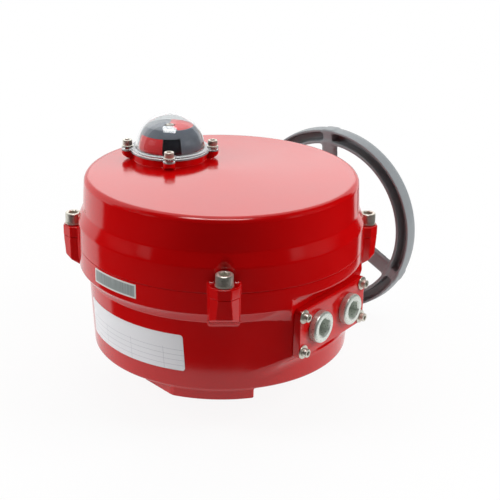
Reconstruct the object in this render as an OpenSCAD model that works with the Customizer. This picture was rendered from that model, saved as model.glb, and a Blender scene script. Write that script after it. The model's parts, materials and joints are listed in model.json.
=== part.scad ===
// Motorized quarter-turn valve actuator: a round two-part casting with a worm drive inside,
// a clear position dome over the output axis, a handwheel on the worm axis and two plugged
// conduit entries. Millimetres. The origin is on the output axis at the valve mounting face,
// +Z is up, +X points out of the conduit face and +Y out along the handwheel axis.

/* [Housing] */
// Distance from the output axis to the axis of the round housing
housing_offset = 69; // [68:0.5:70]
// Radius of the wide band on both sides of the seam
band_r = 147; // [146:0.5:148]
// Height of the seam above the valve mounting face
seam_z = 120; // [119:0.5:121]
// Height of the cover's flat top above the seam
cover_h = 73.5; // [70:0.5:76]
// Radius of the base wall under the ledge
wall_top_r = 137.5; // [136:0.5:139]
// Radius of the base wall at its foot
wall_foot_r = 133.6; // [133:0.2:135]
// Radius of the main cavity
cavity_r = 126; // [125:0.5:127]
// Angle of the closing ear before the conduit face, seen from above
ear_angle = -51; // [-53:1:-49]
// Angle from one closing ear to the next, the back gap being what is left
ear_pitch = 94; // [92:1:95]
// Radius of the circle of cover screws
ear_screw_r = 154; // [153:0.5:155]

/* [Valve mounting] */
// Radius of the round mounting pad
pad_r = 62.5; // [60:0.5:64]
// Height of the pad and of the rest feet under the body
pad_h = 10.5; // [10:0.5:12]
// Diameter of the circle of mounting bolts
bolt_circle_d = 102; // [100:1:104]
// Radius of each tapped mounting hole
bolt_hole_r = 4.25; // [4:0.05:4.5]
// Radius of the drive bore that takes the valve stem
drive_bore_r = 15; // [12:0.5:16]

/* [Indicator] */
// Outer radius of the clear dome
dome_r = 36; // [35:0.5:37]
// Radius of the dome's flange
dome_flange_r = 41; // [40.5:0.5:42]
// Radius of the circle of dome screws
dome_screw_r = 44.5; // [44:0.5:46]

/* [Worm drive] */
// Height of the worm and handwheel axis above the mounting face
worm_z = 75; // [74:0.5:76]
// Width of the spur gears between motor and worm
gear_w = 10; // [8:0.5:11]

/* [Handwheel] */
// Outer radius of the rim
rim_r = 111; // [109:0.5:114]
// Width of the rim's section across the radius
rim_w = 17.5; // [16.5:0.5:18.5]
// Depth of the rim along the axis
rim_d = 20; // [19:0.5:21]
// Distance from the output axis to the middle of the rim
rim_y = 226; // [225:1:228]
// Angle of the first spoke, from +X toward +Z
spoke_angle = 93; // [88:1:96]

/* [Conduit face] */
// Half the distance between the two conduit entries
entry_y = 26.5; // [26:0.5:27]
// Height of the entries above the mounting face
entry_z = 69.5; // [69:0.5:70]
// Radius of an entry's thread
entry_r = 12.5; // [12:0.5:13]

/* [Hidden] */
$fn = 96;

red = "#b80a0c";
steel = "#c3c5c0";
bright_steel = "#d8dad6";
cast_grey = "#7d8184";
black = "#26282a";
bronze = "#b07a3c";
clear = [0.8, 0.84, 0.86, 0.35];

// Clearance holes for the screw sizes in use, as radii
m5_hole_r = 2.6;
m6_hole_r = 3.1;
m8_hole_r = 4.1;
quarter_angles = [45, 135, 225, 315];

// Room that pieces of one body keep where one sits in a hole of the other
seat = 0.05;
// Radial clearance of a running fit
run = 0.05;

// Housing heights
body_z = pad_h;
floor_z = 24;
ledge_z = 86;
band_z = 98;
base_top_z = seam_z - 0.4;
cover_low_z = seam_z + 0.4;
cover_top_z = seam_z + cover_h;
ear_angles = [for (i = [-1:2]) ear_angle + ear_pitch * i];
dome_angles = [for (i = [0:3]) ear_angle + 90 * i];
ear_top_z = cover_low_z + 10.6;
ear_out_r = 164;
ear_half_w = 14.5;
ear_relief = 0.2;
screw_r = 5;
screw_hole_r = 5.1;

// Output stack
hub_r = 46;
hub_top_z = 50;
bush_seat_r = 26;
seal_seat_r = 28;
upper_seat_r = 24;
sleeve_r = 22;
sleeve_low_z = 2;
flange_z = 52;
wheel_z0 = worm_z - 12.5;
wheel_z1 = worm_z + 12.5;
wheel_seat_r = 24;
journal_r = 20;
bridge_z = 95;
bridge_t = 8;
bridge_top_z = bridge_z + bridge_t;
sleeve_top_z = 106;
shaft_r = 8;
pillars = [[0, 72], [0, -72], [-40, 48], [-40, -48]];
stop_r = 39;
stop_arm_angle = 135;
stop_gap_angle = 17.4;
stop_angles = [stop_arm_angle - stop_gap_angle, stop_arm_angle + 90 + stop_gap_angle];
stop_pin_r = 5;

// Indicator heights
boss_h = 7;
dome_seat_z = cover_top_z + boss_h;
dome_gasket_t = 1;
dome_low_z = dome_seat_z + dome_gasket_t;
dome_z = dome_seat_z + 4;
dome_t = 3;
dome_lug_r = 6.2;
dome_washer_t = 1.2;
drum_r = 31;
drum_ball_r = 31.8;
drum_low_z = dome_seat_z - 2.5;
drum_top_z = dome_z + 24.5;
drum_well_r = 5.5;
drum_well_z = dome_z + 20;
drum_slot_angles = [-136.5, -46.5, 43.5, 133.5];
drum_slot_w = 17.8;
drum_slot_depth = 1.8;
drum_slot_top_z = dome_z + 19.5;

// Worm drive: module, teeth and pitch radii, then its places
worm_module = 2.5;
wheel_teeth = 38;
worm_pitch_r = 14.5;
spur_module = 2;
spur_teeth = 40;
pinion_teeth = 16;
wheel_pitch_r = worm_module * wheel_teeth / 2;
worm_x = wheel_pitch_r + worm_pitch_r;
worm_lead = PI * worm_module;
spur_r = spur_module * spur_teeth / 2;
pinion_r = spur_module * pinion_teeth / 2;
motor_x = worm_x + spur_r + pinion_r;
motor_r = 33;
motor_screw_r = 26;
bracket_screw_x = [motor_x - 22, motor_x + 22];
bracket_screw_y = -42;
gear_y = -77;
pedestal_y = 51;
pedestal_w = 14;
bearing_r = 16;

// Limit switches, one above the other beside the cams
switch_screw_y = 55;
plunger_r = 1.8;
plunger_y = 21.6;
plunger_zs = [116, 128];

// Hand drive places along +Y
boss_end_y = 176;
bush_y0 = 125;
bush_y1 = 168;
bush_hole_r = 22;
seal_hole_r = 24;
hand_sleeve_r = 16;
square_af = 18;
hub_y0 = 212;
hub_y1 = 238;
hub_square_af = 13;

// Conduit face, measured from the housing axis
flat_x = housing_offset + 133.5;
conduit_gasket_t = 1.5;
plate_t = 6;
plate_x = flat_x + conduit_gasket_t;
plate_face_x = plate_x + plate_t;
plate_half_y = 58;
plate_half_z = 25.5;
plate_lip = 1.6;
plate_screw_y = 52;
plate_screw_z = 18.6;
plate_hole_r = 2.7;
plate_washer_t = 1.3;
plug_r = 16;
plug_collar_h = 4.5;

// Points of an arc about a centre, from angle a0 to a1
function arc(c, r, a0, a1, n = 6) =
    [for (i = [0:n]) let (a = a0 + (a1 - a0) * i / n) c + r * [cos(a), sin(a)]];

// Involute function in degrees, and half the angle of a tooth at radius r
function involute(a) = tan(a) * 180 / PI - a;
function tooth_half_angle(r, teeth, pitch_r, slack) =
    let (base_r = pitch_r * cos(20), a = acos(min(1, base_r / max(r, base_r))))
    90 / teeth - slack / pitch_r * 180 / PI + involute(20) - involute(a);

module at_housing() { translate([housing_offset, 0, 0]) children(); }
module on_worm_axis() { translate([worm_x, 0, worm_z]) rotate([-90, 0, 0]) children(); }
module on_motor_axis() { translate([motor_x, 0, worm_z]) rotate([-90, 0, 0]) children(); }
module toward_x(x, y, z) { translate([x, y, z]) rotate([0, 90, 0]) children(); }
module around(angles, r) { for (a = angles) rotate([0, 0, a]) translate([r, 0, 0]) children(); }

module disc(r, z0, z1) { translate([0, 0, z0]) cylinder(r = r, h = z1 - z0); }
module ring(ro, ri, z0, z1) {
    difference() {
        disc(ro, z0, z1);
        disc(ri, z0 - 1, z1 + 1);
    }
}
module square_bar(af, z0, z1) { translate([-af / 2, -af / 2, z0]) cube([af, af, z1 - z0]); }
module hex_bar(af, z0, z1) { translate([0, 0, z0]) cylinder(d = af / cos(30), h = z1 - z0, $fn = 6); }

// Socket head cap screw that stands on z = 0, with its shank below
module cap_screw(head_r, head_h, shank_r, shank_l, socket_af) {
    difference() {
        union() {
            disc(head_r, 0, head_h - 0.8);
            translate([0, 0, head_h - 0.8]) cylinder(r1 = head_r, r2 = head_r - 0.8, h = 0.8);
            disc(shank_r, -shank_l, 0.1);
        }
        hex_bar(socket_af, head_h * 0.45, head_h + 1);
    }
}

// Spur or wheel outline with involute flanks, a tooth centred on angle 0
module gear_outline(teeth, pitch_r, tip_r, root_r, slack) {
    radii = [root_r, pitch_r - (pitch_r - root_r) * 0.35, pitch_r + (tip_r - pitch_r) * 0.4, tip_r];
    polygon([for (i = [0:teeth - 1]) for (side = [-1, 1]) for (k = [0:3])
        let (r = radii[side < 0 ? k : 3 - k],
            a = i * 360 / teeth + side * tooth_half_angle(r, teeth, pitch_r, slack))
        r * [cos(a), sin(a)]]);
}

// Right-hand helical thread along z, whose crest crosses z = 0 on the -x side
module worm_thread(turns, steps, root_r, tip_r, half_t) {
    slope = tan(20);
    count = turns * steps;
    profile = [[root_r, -half_t - (worm_pitch_r - root_r) * slope],
        [tip_r, -half_t + (tip_r - worm_pitch_r) * slope],
        [tip_r, half_t - (tip_r - worm_pitch_r) * slope],
        [root_r, half_t + (worm_pitch_r - root_r) * slope]];
    points = [for (i = [0:count]) let (a = 180 + (i / steps - turns / 2) * 360)
        for (p = profile) [p[0] * cos(a), p[0] * sin(a), p[1] + (a - 180) / 360 * worm_lead]];
    sides = [for (i = [0:count - 1]) for (k = [0:3])
        let (a = 4 * i + k, b = 4 * i + (k + 1) % 4)
        for (face = [[a, b, b + 4], [a, b + 4, a + 4]]) face];
    last = 4 * count;
    polyhedron(points, concat(sides, [[2, 1, 0], [3, 2, 0], [last, last + 1, last + 2],
        [last, last + 2, last + 3]]));
}

// Plan of a closing ear, pointing along +x
module ear_plan(half_w) {
    chamfer = 8.2;
    polygon([[130, -half_w], [ear_out_r - chamfer, -half_w], [ear_out_r, chamfer - half_w],
        [ear_out_r, half_w - chamfer], [ear_out_r - chamfer, half_w], [130, half_w]]);
}

// Base ear: straight above, its underside sloping in to the wall
module base_ear() {
    intersection() {
        translate([0, 0, 80]) linear_extrude(base_top_z - 80) ear_plan(ear_half_w - 1);
        rotate([90, 0, 0]) linear_extrude(40, center = true)
            polygon([[130, base_top_z], [ear_out_r, base_top_z], [ear_out_r, 99.4],
                [139, 85], [130, 85]]);
    }
}

module base_outside() {
    at_housing() rotate_extrude() polygon(concat(
        [[0, body_z], [wall_foot_r - 3, body_z]],
        arc([wall_foot_r - 3, body_z + 3], 3, -90, 0, 4),
        [[wall_top_r, ledge_z], [band_r, band_z], [band_r, base_top_z], [0, base_top_z]]));
}

module base_cavity() {
    at_housing() rotate_extrude() polygon([[0, floor_z], [cavity_r - 6, floor_z],
        [cavity_r, floor_z + 6], [cavity_r, band_z], [cavity_r + 8, band_z + 8],
        [cavity_r + 8, base_top_z + 1], [0, base_top_z + 1]]);
}

// Drafted casting boss that carries the flat conduit face
module conduit_boss() {
    at_housing() hull() {
        translate([113, -70, 34]) cube([0.5, 140, 73]);
        translate([133.4, -plate_half_y, entry_z - plate_half_z]) cube([0.1, plate_half_y * 2, 51]);
    }
}

// Rest foot under the wall, clipped to the wall's own radius, one end cut along a radius
module rest_foot() {
    at_housing() intersection() {
        disc(wall_foot_r - 1.4, 0, body_z + 4);
        linear_extrude(body_z + 4) polygon([[83, -63.7], [112, -86], [112, -120], [60, -140],
            [39, -126.5], [-6, -117.5], [-6, -100], [60, -92]]);
    }
}

module pedestal(y) {
    translate([worm_x, y - pedestal_w / 2, worm_z]) rotate([-90, 0, 0])
        cylinder(r = 21, h = pedestal_w);
    translate([worm_x - 21, y - pedestal_w / 2, floor_z - 2])
        cube([42, pedestal_w, worm_z - floor_z + 2]);
}

module base_housing() {
    color(red) difference() {
        union() {
            difference() {
                union() {
                    base_outside();
                    at_housing() around(ear_angles, 0) base_ear();
                    conduit_boss();
                    disc(pad_r, 0, body_z + 6);
                    rest_foot();
                    mirror([0, 1, 0]) rest_foot();
                    on_worm_axis() translate([0, 0, 118]) cylinder(r1 = 36, r2 = 31, h = boss_end_y - 118);
                }
                base_cavity();
            }
            disc(hub_r, body_z, hub_top_z);
            for (p = pillars) translate(p) disc(8, floor_z - 2, bridge_z);
            for (y = [-pedestal_y, pedestal_y]) pedestal(y);
        }
        // Flat for the conduit plate, cut into the band above it
        translate([flat_x, -62, 36]) cube([60, 124, 71]);
        // Output bore, seal recess and tapped mounting holes
        disc(bush_seat_r, -1, hub_top_z + 1);
        disc(seal_seat_r, -1, body_z);
        around(quarter_angles, bolt_circle_d / 2) disc(bolt_hole_r, -1, 18);
        // Stop pin holes in the hub
        around(stop_angles, stop_r) disc(stop_pin_r, 36, hub_top_z + 1);
        // Cover screw holes in the ears
        at_housing() around(ear_angles, ear_screw_r) disc(screw_hole_r, 101, base_top_z + 1);
        // Bridge screw holes in the pillars
        for (p = pillars) translate(p) disc(m8_hole_r, 72, bridge_z + 1);
        // Worm bearing seats and the bore of the hand drive
        on_worm_axis() disc(bearing_r, -62, 62);
        on_worm_axis() disc(bush_hole_r, 112, bush_y1);
        on_worm_axis() disc(seal_hole_r, bush_y1, boss_end_y + 1);
        // Conduit entries and plate screw holes
        for (y = [-entry_y, entry_y]) toward_x(housing_offset + 100, y, entry_z) disc(16, 0, 40);
        for (y = [-1, 1]) for (z = [-1, 1])
            toward_x(flat_x - 13, y * plate_screw_y, entry_z + z * plate_screw_z) disc(m5_hole_r, 0, 20);
        // Floor holes for the motor bracket
        for (x = bracket_screw_x) translate([x, bracket_screw_y, 0]) disc(m6_hole_r, 15, floor_z + 1);
    }
}

module cover_outside() {
    at_housing() rotate_extrude() polygon(concat(
        [[0, cover_low_z], [band_r, cover_low_z], [band_r, seam_z + 25], [141.5, seam_z + 38]],
        arc([130, cover_top_z - 10], 10, 0, 90, 8), [[0, cover_top_z]]));
}

module cover_inside() {
    at_housing() rotate_extrude() polygon(concat(
        [[0, 110], [cavity_r + 1.5, 110], [cavity_r + 1.5, seam_z + 9], [134, seam_z + 18]],
        arc([126, cover_top_z - 14], 7, 0, 90), [[0, cover_top_z - 7]]));
}

// Round boss under the dome with four screw lugs
module indicator_boss() {
    translate([0, 0, cover_top_z - 3]) cylinder(r1 = 44, r2 = 38.5, h = 5.5);
    disc(38.5, cover_top_z - 3, dome_seat_z);
    around(dome_angles, dome_screw_r) disc(dome_lug_r, cover_top_z - 3, dome_seat_z);
}

module cover() {
    color(red) difference() {
        union() {
            difference() {
                union() {
                    cover_outside();
                    at_housing() ring(cavity_r + 7.6, cavity_r + 1.5, seam_z - 6, seam_z + 2);
                    // The ears stand clear of the base's, so that the screws clamp the gasket
                    at_housing() around(ear_angles, 0) translate([0, 0, cover_low_z + ear_relief])
                        linear_extrude(ear_top_z - cover_low_z - ear_relief) ear_plan(ear_half_w);
                }
                cover_inside();
            }
            indicator_boss();
            // Lugs run down inside the top so that the dome screws have thread
            around(dome_angles, dome_screw_r) disc(dome_lug_r, cover_top_z - 12, cover_top_z - 3);
            disc(20, cover_top_z - 14, cover_top_z - 3);
        }
        disc(12, 170, cover_top_z + 1);
        disc(32, cover_top_z - 1, dome_seat_z + 1);
        around(dome_angles, dome_screw_r) disc(m6_hole_r, cover_top_z - 10, dome_seat_z + 1);
        at_housing() around(ear_angles, ear_screw_r) disc(screw_hole_r, 110, ear_top_z + 1);
        // Spot faces that clear the screw heads where the band swells beside them
        at_housing() around(ear_angles, ear_screw_r) disc(11, ear_top_z, ear_top_z + 30);
    }
}

module cover_gasket() {
    color(black) at_housing() ring(band_r - 0.8, 135, base_top_z, cover_low_z);
}

module cover_screws() {
    color(steel) at_housing() around(ear_angles, ear_screw_r)
        translate([0, 0, ear_top_z + 1.6]) cap_screw(8.4, 10.4, screw_r, 28, 8);
}

module cover_washers() {
    color(steel) at_housing() around(ear_angles, ear_screw_r)
        ring(8.9, screw_hole_r, ear_top_z, ear_top_z + 1.6);
}

module dome_flange(z0, z1, inner_r, lug_hole_r) {
    difference() {
        union() {
            disc(dome_flange_r, z0, z1);
            around(dome_angles, dome_screw_r) disc(dome_lug_r, z0, z1);
        }
        disc(inner_r, z0 - 1, z1 + 1);
        around(dome_angles, dome_screw_r) disc(lug_hole_r, z0 - 1, z1 + 1);
    }
}

module indicator_dome() {
    color(clear) {
        difference() {
            union() {
                dome_flange(dome_low_z, dome_z, dome_r - dome_t, m6_hole_r);
                intersection() {
                    translate([0, 0, dome_z]) sphere(r = dome_r);
                    disc(dome_r + 1, dome_z - 1, dome_z + dome_r + 1);
                }
            }
            translate([0, 0, dome_z]) sphere(r = dome_r - dome_t);
            disc(dome_r - dome_t, dome_low_z - 1, dome_z);
        }
    }
}

module dome_gasket() {
    color(black) dome_flange(dome_seat_z, dome_low_z, dome_r - dome_t, m6_hole_r);
}

module dome_screws() {
    color(steel) around(dome_angles, dome_screw_r)
        translate([0, 0, dome_z + dome_washer_t]) cap_screw(5, 6, 3, 13, 5);
}

module dome_washers() {
    color(steel) around(dome_angles, dome_screw_r) ring(5.8, m6_hole_r, dome_z, dome_z + dome_washer_t);
}

// Outside of the drum, which follows the dome, or its slots' floor at an inset
module drum_outside(inset) {
    intersection() {
        disc(drum_r - inset, drum_low_z - inset, drum_top_z);
        translate([0, 0, dome_z]) sphere(r = drum_ball_r - inset);
    }
}

// Drum with four panels between slots, a flat top and a well for its screw
module indicator_drum() {
    color(black) difference() {
        drum_outside(0);
        disc(shaft_r + seat, drum_low_z - 1, drum_low_z + 14);
        disc(m5_hole_r, drum_low_z, drum_top_z + 1);
        disc(drum_well_r, drum_well_z, drum_top_z + 1);
        for (a = drum_slot_angles) rotate([0, 0, a]) difference() {
            translate([drum_r / 2, -drum_slot_w / 2, drum_low_z - 1])
                cube([drum_r, drum_slot_w, drum_slot_top_z - drum_low_z + 1]);
            drum_outside(drum_slot_depth);
        }
    }
}

module indicator_screw() {
    color(steel) translate([0, 0, drum_well_z]) cap_screw(4.25, 4, 2.5, 16, 4);
}

module indicator_shaft() {
    color(bright_steel) difference() {
        disc(shaft_r, sleeve_top_z - 14, drum_low_z + 13.8);
        disc(m5_hole_r, dome_z + 2, dome_z + 30);
    }
}

module shaft_seal() {
    color(black) ring(12 - seat, shaft_r + run, cover_top_z - 13, cover_top_z - 2);
}

// Cam disc with one raised lobe, for the switch at the +Y side
module cam(z, lobe_angle) {
    difference() {
        union() {
            disc(16, z, z + 6);
            disc(12, z - 2, z + 8);
            intersection() {
                disc(21, z, z + 6);
                rotate([0, 0, lobe_angle]) translate([0, 0, z])
                    linear_extrude(6) polygon([[0, 0], [40, -16], [40, 16]]);
            }
        }
        disc(shaft_r + seat, z - 3, z + 9);
    }
}

module open_cam() { color(black) cam(113, 0); }
module close_cam() { color("#b8bcc0") cam(125, 90); }

module key_box(grow) {
    translate([wheel_seat_r - 4, -4 - grow, wheel_z0 + 2])
        cube([8 + grow, 8 + 2 * grow, 20]);
}

module drive_sleeve() {
    color(bright_steel) difference() {
        union() {
            disc(sleeve_r, sleeve_low_z, flange_z + 1);
            disc(30, flange_z, wheel_z0);
            rotate([0, 0, stop_arm_angle]) translate([20, -6, flange_z]) cube([25, 12, 8]);
            disc(wheel_seat_r, wheel_z0, wheel_z1);
            disc(journal_r, wheel_z1, sleeve_top_z);
        }
        disc(drive_bore_r, sleeve_low_z - 1, 47);
        // Keyway for the valve stem
        translate([0, -4, sleeve_low_z - 1]) cube([drive_bore_r + 3.3, 8, 46]);
        disc(shaft_r + seat, sleeve_top_z - 14, sleeve_top_z + 1);
        key_box(seat);
    }
}

module worm_wheel() {
    color(bronze) difference() {
        translate([0, 0, wheel_z0]) linear_extrude(wheel_z1 - wheel_z0)
            rotate(180 / wheel_teeth)
            gear_outline(wheel_teeth, wheel_pitch_r, wheel_pitch_r + 2.4, wheel_pitch_r - 3, 0.36);
        disc(wheel_seat_r + seat, wheel_z0 - 1, wheel_z1 + 1);
        // Recesses that leave a web between hub and rim
        ring(40, 31, wheel_z0 - 1, wheel_z0 + 6);
        ring(40, 31, wheel_z1 - 6, wheel_z1 + 1);
        translate([0, -4 - seat, wheel_z0 - 1]) cube([wheel_seat_r + 4 + seat, 8 + 2 * seat, 30]);
    }
}

module wheel_key() { color(steel) key_box(0); }

module wheel_locknut() {
    color(steel) difference() {
        ring(29, journal_r + seat, wheel_z1, wheel_z1 + 6);
        around([0, 90, 180, 270], 29) translate([-3, -3, wheel_z1 - 1]) cube([6, 6, 8]);
    }
}

module lower_bush() { color(bronze) ring(bush_seat_r - seat, sleeve_r + run, body_z, hub_top_z); }
module upper_bush() { color(bronze) ring(upper_seat_r - seat, journal_r + run, bridge_z, bridge_top_z); }
module thrust_washer() { color(bronze) ring(32, sleeve_r + 0.3, hub_top_z, flange_z - 0.1); }
module output_seal() { color(black) ring(seal_seat_r - seat, sleeve_r + run, 3, body_z - 1); }

module stop_pins() {
    color(steel) around(stop_angles, stop_r) disc(stop_pin_r - seat, 36, flange_z + 8);
}

// Round plate with an arm to each pillar
module bridge_plan() {
    disc(36, bridge_z, bridge_top_z);
    for (p = pillars) {
        translate(p) disc(12, bridge_z, bridge_top_z);
        rotate([0, 0, atan2(p[1], p[0])]) translate([0, -11, bridge_z]) cube([norm(p), 22, bridge_t]);
    }
}

// Spider-shaped bridge that carries the upper bush on the four pillars
module bearing_bridge() {
    color("#a9adb0") difference() {
        intersection() {
            at_housing() disc(cavity_r - 1, bridge_z - 1, bridge_top_z + 1);
            bridge_plan();
        }
        disc(upper_seat_r, bridge_z - 1, bridge_top_z + 1);
        for (p = pillars) translate(p) disc(m8_hole_r, bridge_z - 1, bridge_top_z + 1);
        translate([0, switch_screw_y, 0]) disc(m6_hole_r, bridge_z - 1, bridge_top_z + 1);
    }
}

module bridge_screws() {
    color(steel) for (p = pillars) translate([p[0], p[1], bridge_top_z]) cap_screw(6.5, 8, 4, 28, 6);
}

module worm() {
    color(steel) on_worm_axis() difference() {
        union() {
            disc(worm_pitch_r - 3.1, -27, 27);
            worm_thread(6, 16, worm_pitch_r - 3.5, worm_pitch_r + 2.4, 1.6);
        }
        disc(shaft_r + 0.1, -28, 28);
    }
}

module worm_shaft() {
    color(bright_steel) on_worm_axis() disc(shaft_r, gear_y - 9, 79.5);
}

module worm_bearings() {
    color(steel) on_worm_axis() for (y = [-pedestal_y, pedestal_y]) {
        translate([0, 0, y - 6]) difference() {
            ring(bearing_r - seat, shaft_r + run, 0, 12);
            ring(13.4, 10.6, -1, 0.8);
            ring(13.4, 10.6, 11.2, 13);
        }
    }
}

module spur_gear() {
    color(steel) on_worm_axis() difference() {
        union() {
            translate([0, 0, gear_y - gear_w / 2]) linear_extrude(gear_w)
                gear_outline(spur_teeth, spur_r, spur_r + 1.9, spur_r - 2.5, 0.14);
            disc(15, gear_y - gear_w / 2 - 3, gear_y + gear_w / 2 + 3);
        }
        disc(shaft_r + seat, gear_y - 20, gear_y + 20);
        ring(32, 17, gear_y - gear_w, gear_y - 2);
        ring(32, 17, gear_y + 2, gear_y + gear_w);
    }
}

// Dog ring with three face teeth between two angles of each third
module dog_ring(z0, z1, tooth_z0, tooth_z1, first_angle) {
    disc(20, z0, z1);
    intersection() {
        ring(20, 11, tooth_z0, tooth_z1);
        for (a = [0, 120, 240]) rotate([0, 0, first_angle + a]) translate([0, 0, tooth_z0])
            linear_extrude(tooth_z1 - tooth_z0) polygon([[0, 0], [40, -16], [40, 16]]);
    }
}

module clutch_dog() {
    color(steel) on_worm_axis() difference() {
        dog_ring(70, 79.5, 79, 85, 0);
        disc(shaft_r + seat, 69, 80);
    }
}

module motor_body() {
    color("#8d9194") on_motor_axis() difference() {
        union() {
            disc(motor_r, -44, 64);
            for (a = [15:15:360]) rotate([0, 0, a]) translate([motor_r - 1, -1.2, -36]) cube([2.2, 2.4, 92]);
        }
        disc(6, -45, 65);
    }
}

module motor_end_bells() {
    color("#5d6266") on_motor_axis() {
        difference() {
            union() {
                disc(motor_r - 1, -52, -44);
                disc(11.5, -58, -51);
            }
            disc(5 + run, -59, -43);
            around(quarter_angles, motor_screw_r) disc(m5_hole_r, -53, -44);
        }
        difference() {
            disc(motor_r - 1, 64, 74);
            disc(5 + run, 63, 71);
        }
    }
}

module motor_shaft() { color(bright_steel) on_motor_axis() disc(5, -84, 70); }

module motor_pinion() {
    color(steel) on_motor_axis() difference() {
        translate([0, 0, gear_y - gear_w / 2 - 0.5]) linear_extrude(gear_w + 1)
            rotate(180 / pinion_teeth)
            gear_outline(pinion_teeth, pinion_r, pinion_r + 1.9, pinion_r - 2.5, 0.14);
        disc(5 + seat, gear_y - 20, gear_y + 20);
    }
}

module motor_bracket() {
    color("#a9adb0") difference() {
        union() {
            translate([motor_x - 33, -60, floor_z]) cube([70, 8, 86]);
            translate([motor_x - 33, -60, floor_z]) cube([70, 30, 6]);
        }
        on_motor_axis() disc(12, -61, -51);
        on_motor_axis() around(quarter_angles, motor_screw_r) disc(m5_hole_r, -61, -51);
        for (x = bracket_screw_x) translate([x, bracket_screw_y, 0])
            disc(m6_hole_r, floor_z - 1, floor_z + 7);
    }
}

module motor_screws() {
    color(steel) on_motor_axis() around(quarter_angles, motor_screw_r)
        translate([0, 0, -60]) mirror([0, 0, 1]) cap_screw(4.25, 5, 2.5, 15, 4);
}

module bracket_screws() {
    color(steel) {
        for (x = bracket_screw_x) translate([x, bracket_screw_y, floor_z + 6]) cap_screw(5, 6, 3, 13, 5);
        translate([0, switch_screw_y, bridge_top_z + 3]) cap_screw(5, 6, 3, 10, 5);
    }
}

module capacitor() {
    color("#d9d9d4") translate([21, 90, 0]) {
        disc(17, floor_z, 84);
        disc(15, 84, 86);
        for (x = [-6, 6]) translate([x - 3, -0.5, 86]) cube([6, 1, 8]);
    }
}

module switch_bracket() {
    color("#a9adb0") difference() {
        union() {
            translate([-16, 44, bridge_top_z]) cube([32, 3, 34]);
            translate([-11, 44, bridge_top_z]) cube([22, 18, 3]);
        }
        translate([0, switch_screw_y, 0]) disc(m6_hole_r, bridge_top_z - 1, bridge_top_z + 4);
    }
}

// Two snap-action switches, one above the other, with their plunger holes toward the cams
module limit_switches() {
    color("#1f2a44") for (z = plunger_zs) difference() {
        union() {
            translate([-14, 25.5, z - 5]) cube([28, 18.5, 10]);
            translate([-5, 24, z - 3]) cube([10, 2, 6]);
        }
        translate([0, 20, z]) rotate([-90, 0, 0]) cylinder(r = plunger_r + run, h = 13);
        for (x = [-11, 11]) translate([x, 30, z - 6]) cylinder(r = 1.5, h = 12);
    }
}

module plunger(z) { translate([0, plunger_y, z]) rotate([-90, 0, 0]) cylinder(r = plunger_r, h = 7); }
module open_plunger() { color("#e8e4da") plunger(plunger_zs[0]); }
module close_plunger() { color("#e8e4da") plunger(plunger_zs[1]); }

// Terminal strip on the floor behind the conduit entries
module terminal_strip() {
    ways = 9;
    pitch = 9;
    color("#e3e0d4") translate([164, -ways * pitch / 2, floor_z]) difference() {
        union() {
            cube([18, ways * pitch, 14]);
            translate([4, 0, 13]) cube([10, ways * pitch, 8]);
        }
        for (i = [0:ways - 1]) translate([9, (i + 0.5) * pitch, 0]) {
            translate([-10, 0, 7]) rotate([0, 90, 0]) cylinder(r = 2.2, h = 20);
            translate([0, 0, 12]) cylinder(r = 2.8, h = 10);
        }
    }
}

module plate_outline(x0, t, inset = 0) {
    half_y = plate_half_y - inset;
    half_z = plate_half_z - inset;
    translate([x0, -half_y, entry_z - half_z]) cube([t, half_y * 2, half_z * 2]);
}

module plate_holes(entry_hole_r) {
    for (y = [-entry_y, entry_y]) toward_x(flat_x - 1, y, entry_z) disc(entry_hole_r, 0, 20);
    for (y = [-1, 1]) for (z = [-1, 1])
        toward_x(flat_x - 1, y * plate_screw_y, entry_z + z * plate_screw_z) disc(plate_hole_r, 0, 20);
}

module conduit_gasket() {
    color(black) difference() {
        plate_outline(flat_x, conduit_gasket_t, plate_lip + 0.1);
        plate_holes(15);
    }
}

module conduit_plate() {
    color(red) difference() {
        plate_outline(flat_x + 0.3, plate_face_x - flat_x - 0.3);
        // Recess that holds the gasket behind a lip
        plate_outline(flat_x - 1, conduit_gasket_t + 1, plate_lip);
        plate_holes(entry_r + 0.1);
    }
}

module at_plate_screws(x) {
    for (y = [-1, 1]) for (z = [-1, 1])
        toward_x(x, y * plate_screw_y, entry_z + z * plate_screw_z) children();
}

module plate_screws() {
    color(steel) at_plate_screws(plate_face_x + plate_washer_t) cap_screw(4.25, 5, 2.5, 18, 4);
}
module plate_washers() {
    color(steel) at_plate_screws(plate_face_x) ring(6.9, plate_hole_r, 0, plate_washer_t);
}

module conduit_plugs() {
    color(steel) for (y = [-entry_y, entry_y]) toward_x(plate_face_x + 1, y, entry_z) difference() {
        union() {
            cylinder(r = plug_r, h = plug_collar_h);
            translate([0, 0, plug_collar_h]) cylinder(r1 = plug_r, r2 = plug_r - 3, h = 2.5);
            disc(entry_r, -14, 0.1);
        }
        hex_bar(14, -5, 8);
    }
}

module plug_seals() {
    color(black) for (y = [-entry_y, entry_y])
        toward_x(plate_face_x, y, entry_z) ring(15.4, entry_r + 0.1, 0, 1);
}

module hand_sleeve() {
    color(bright_steel) on_worm_axis() difference() {
        disc(hand_sleeve_r, 114, 184);
        square_bar(square_af + 0.2, 113, 185);
        ring(hand_sleeve_r + 1, 14.6, 122, 124);
    }
}

module sleeve_clip() { color(steel) on_worm_axis() ring(20, 14.6 + seat, 122.1, 123.9); }
module hand_bush() {
    color(bronze) on_worm_axis() ring(bush_hole_r - seat, hand_sleeve_r + run, bush_y0, bush_y1);
}
module hand_seal() {
    color(black) on_worm_axis() ring(seal_hole_r - seat, hand_sleeve_r + run, bush_y1, boss_end_y - 1);
}

module hand_shaft() {
    color(bright_steel) on_worm_axis() {
        dog_ring(101, 109, 95.5, 101.5, 60);
        square_bar(square_af, 108, hub_y0);
        square_bar(hub_square_af, hub_y0 - 1, hub_y1);
        disc(6, hub_y1 - 1, 256);
    }
}

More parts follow.
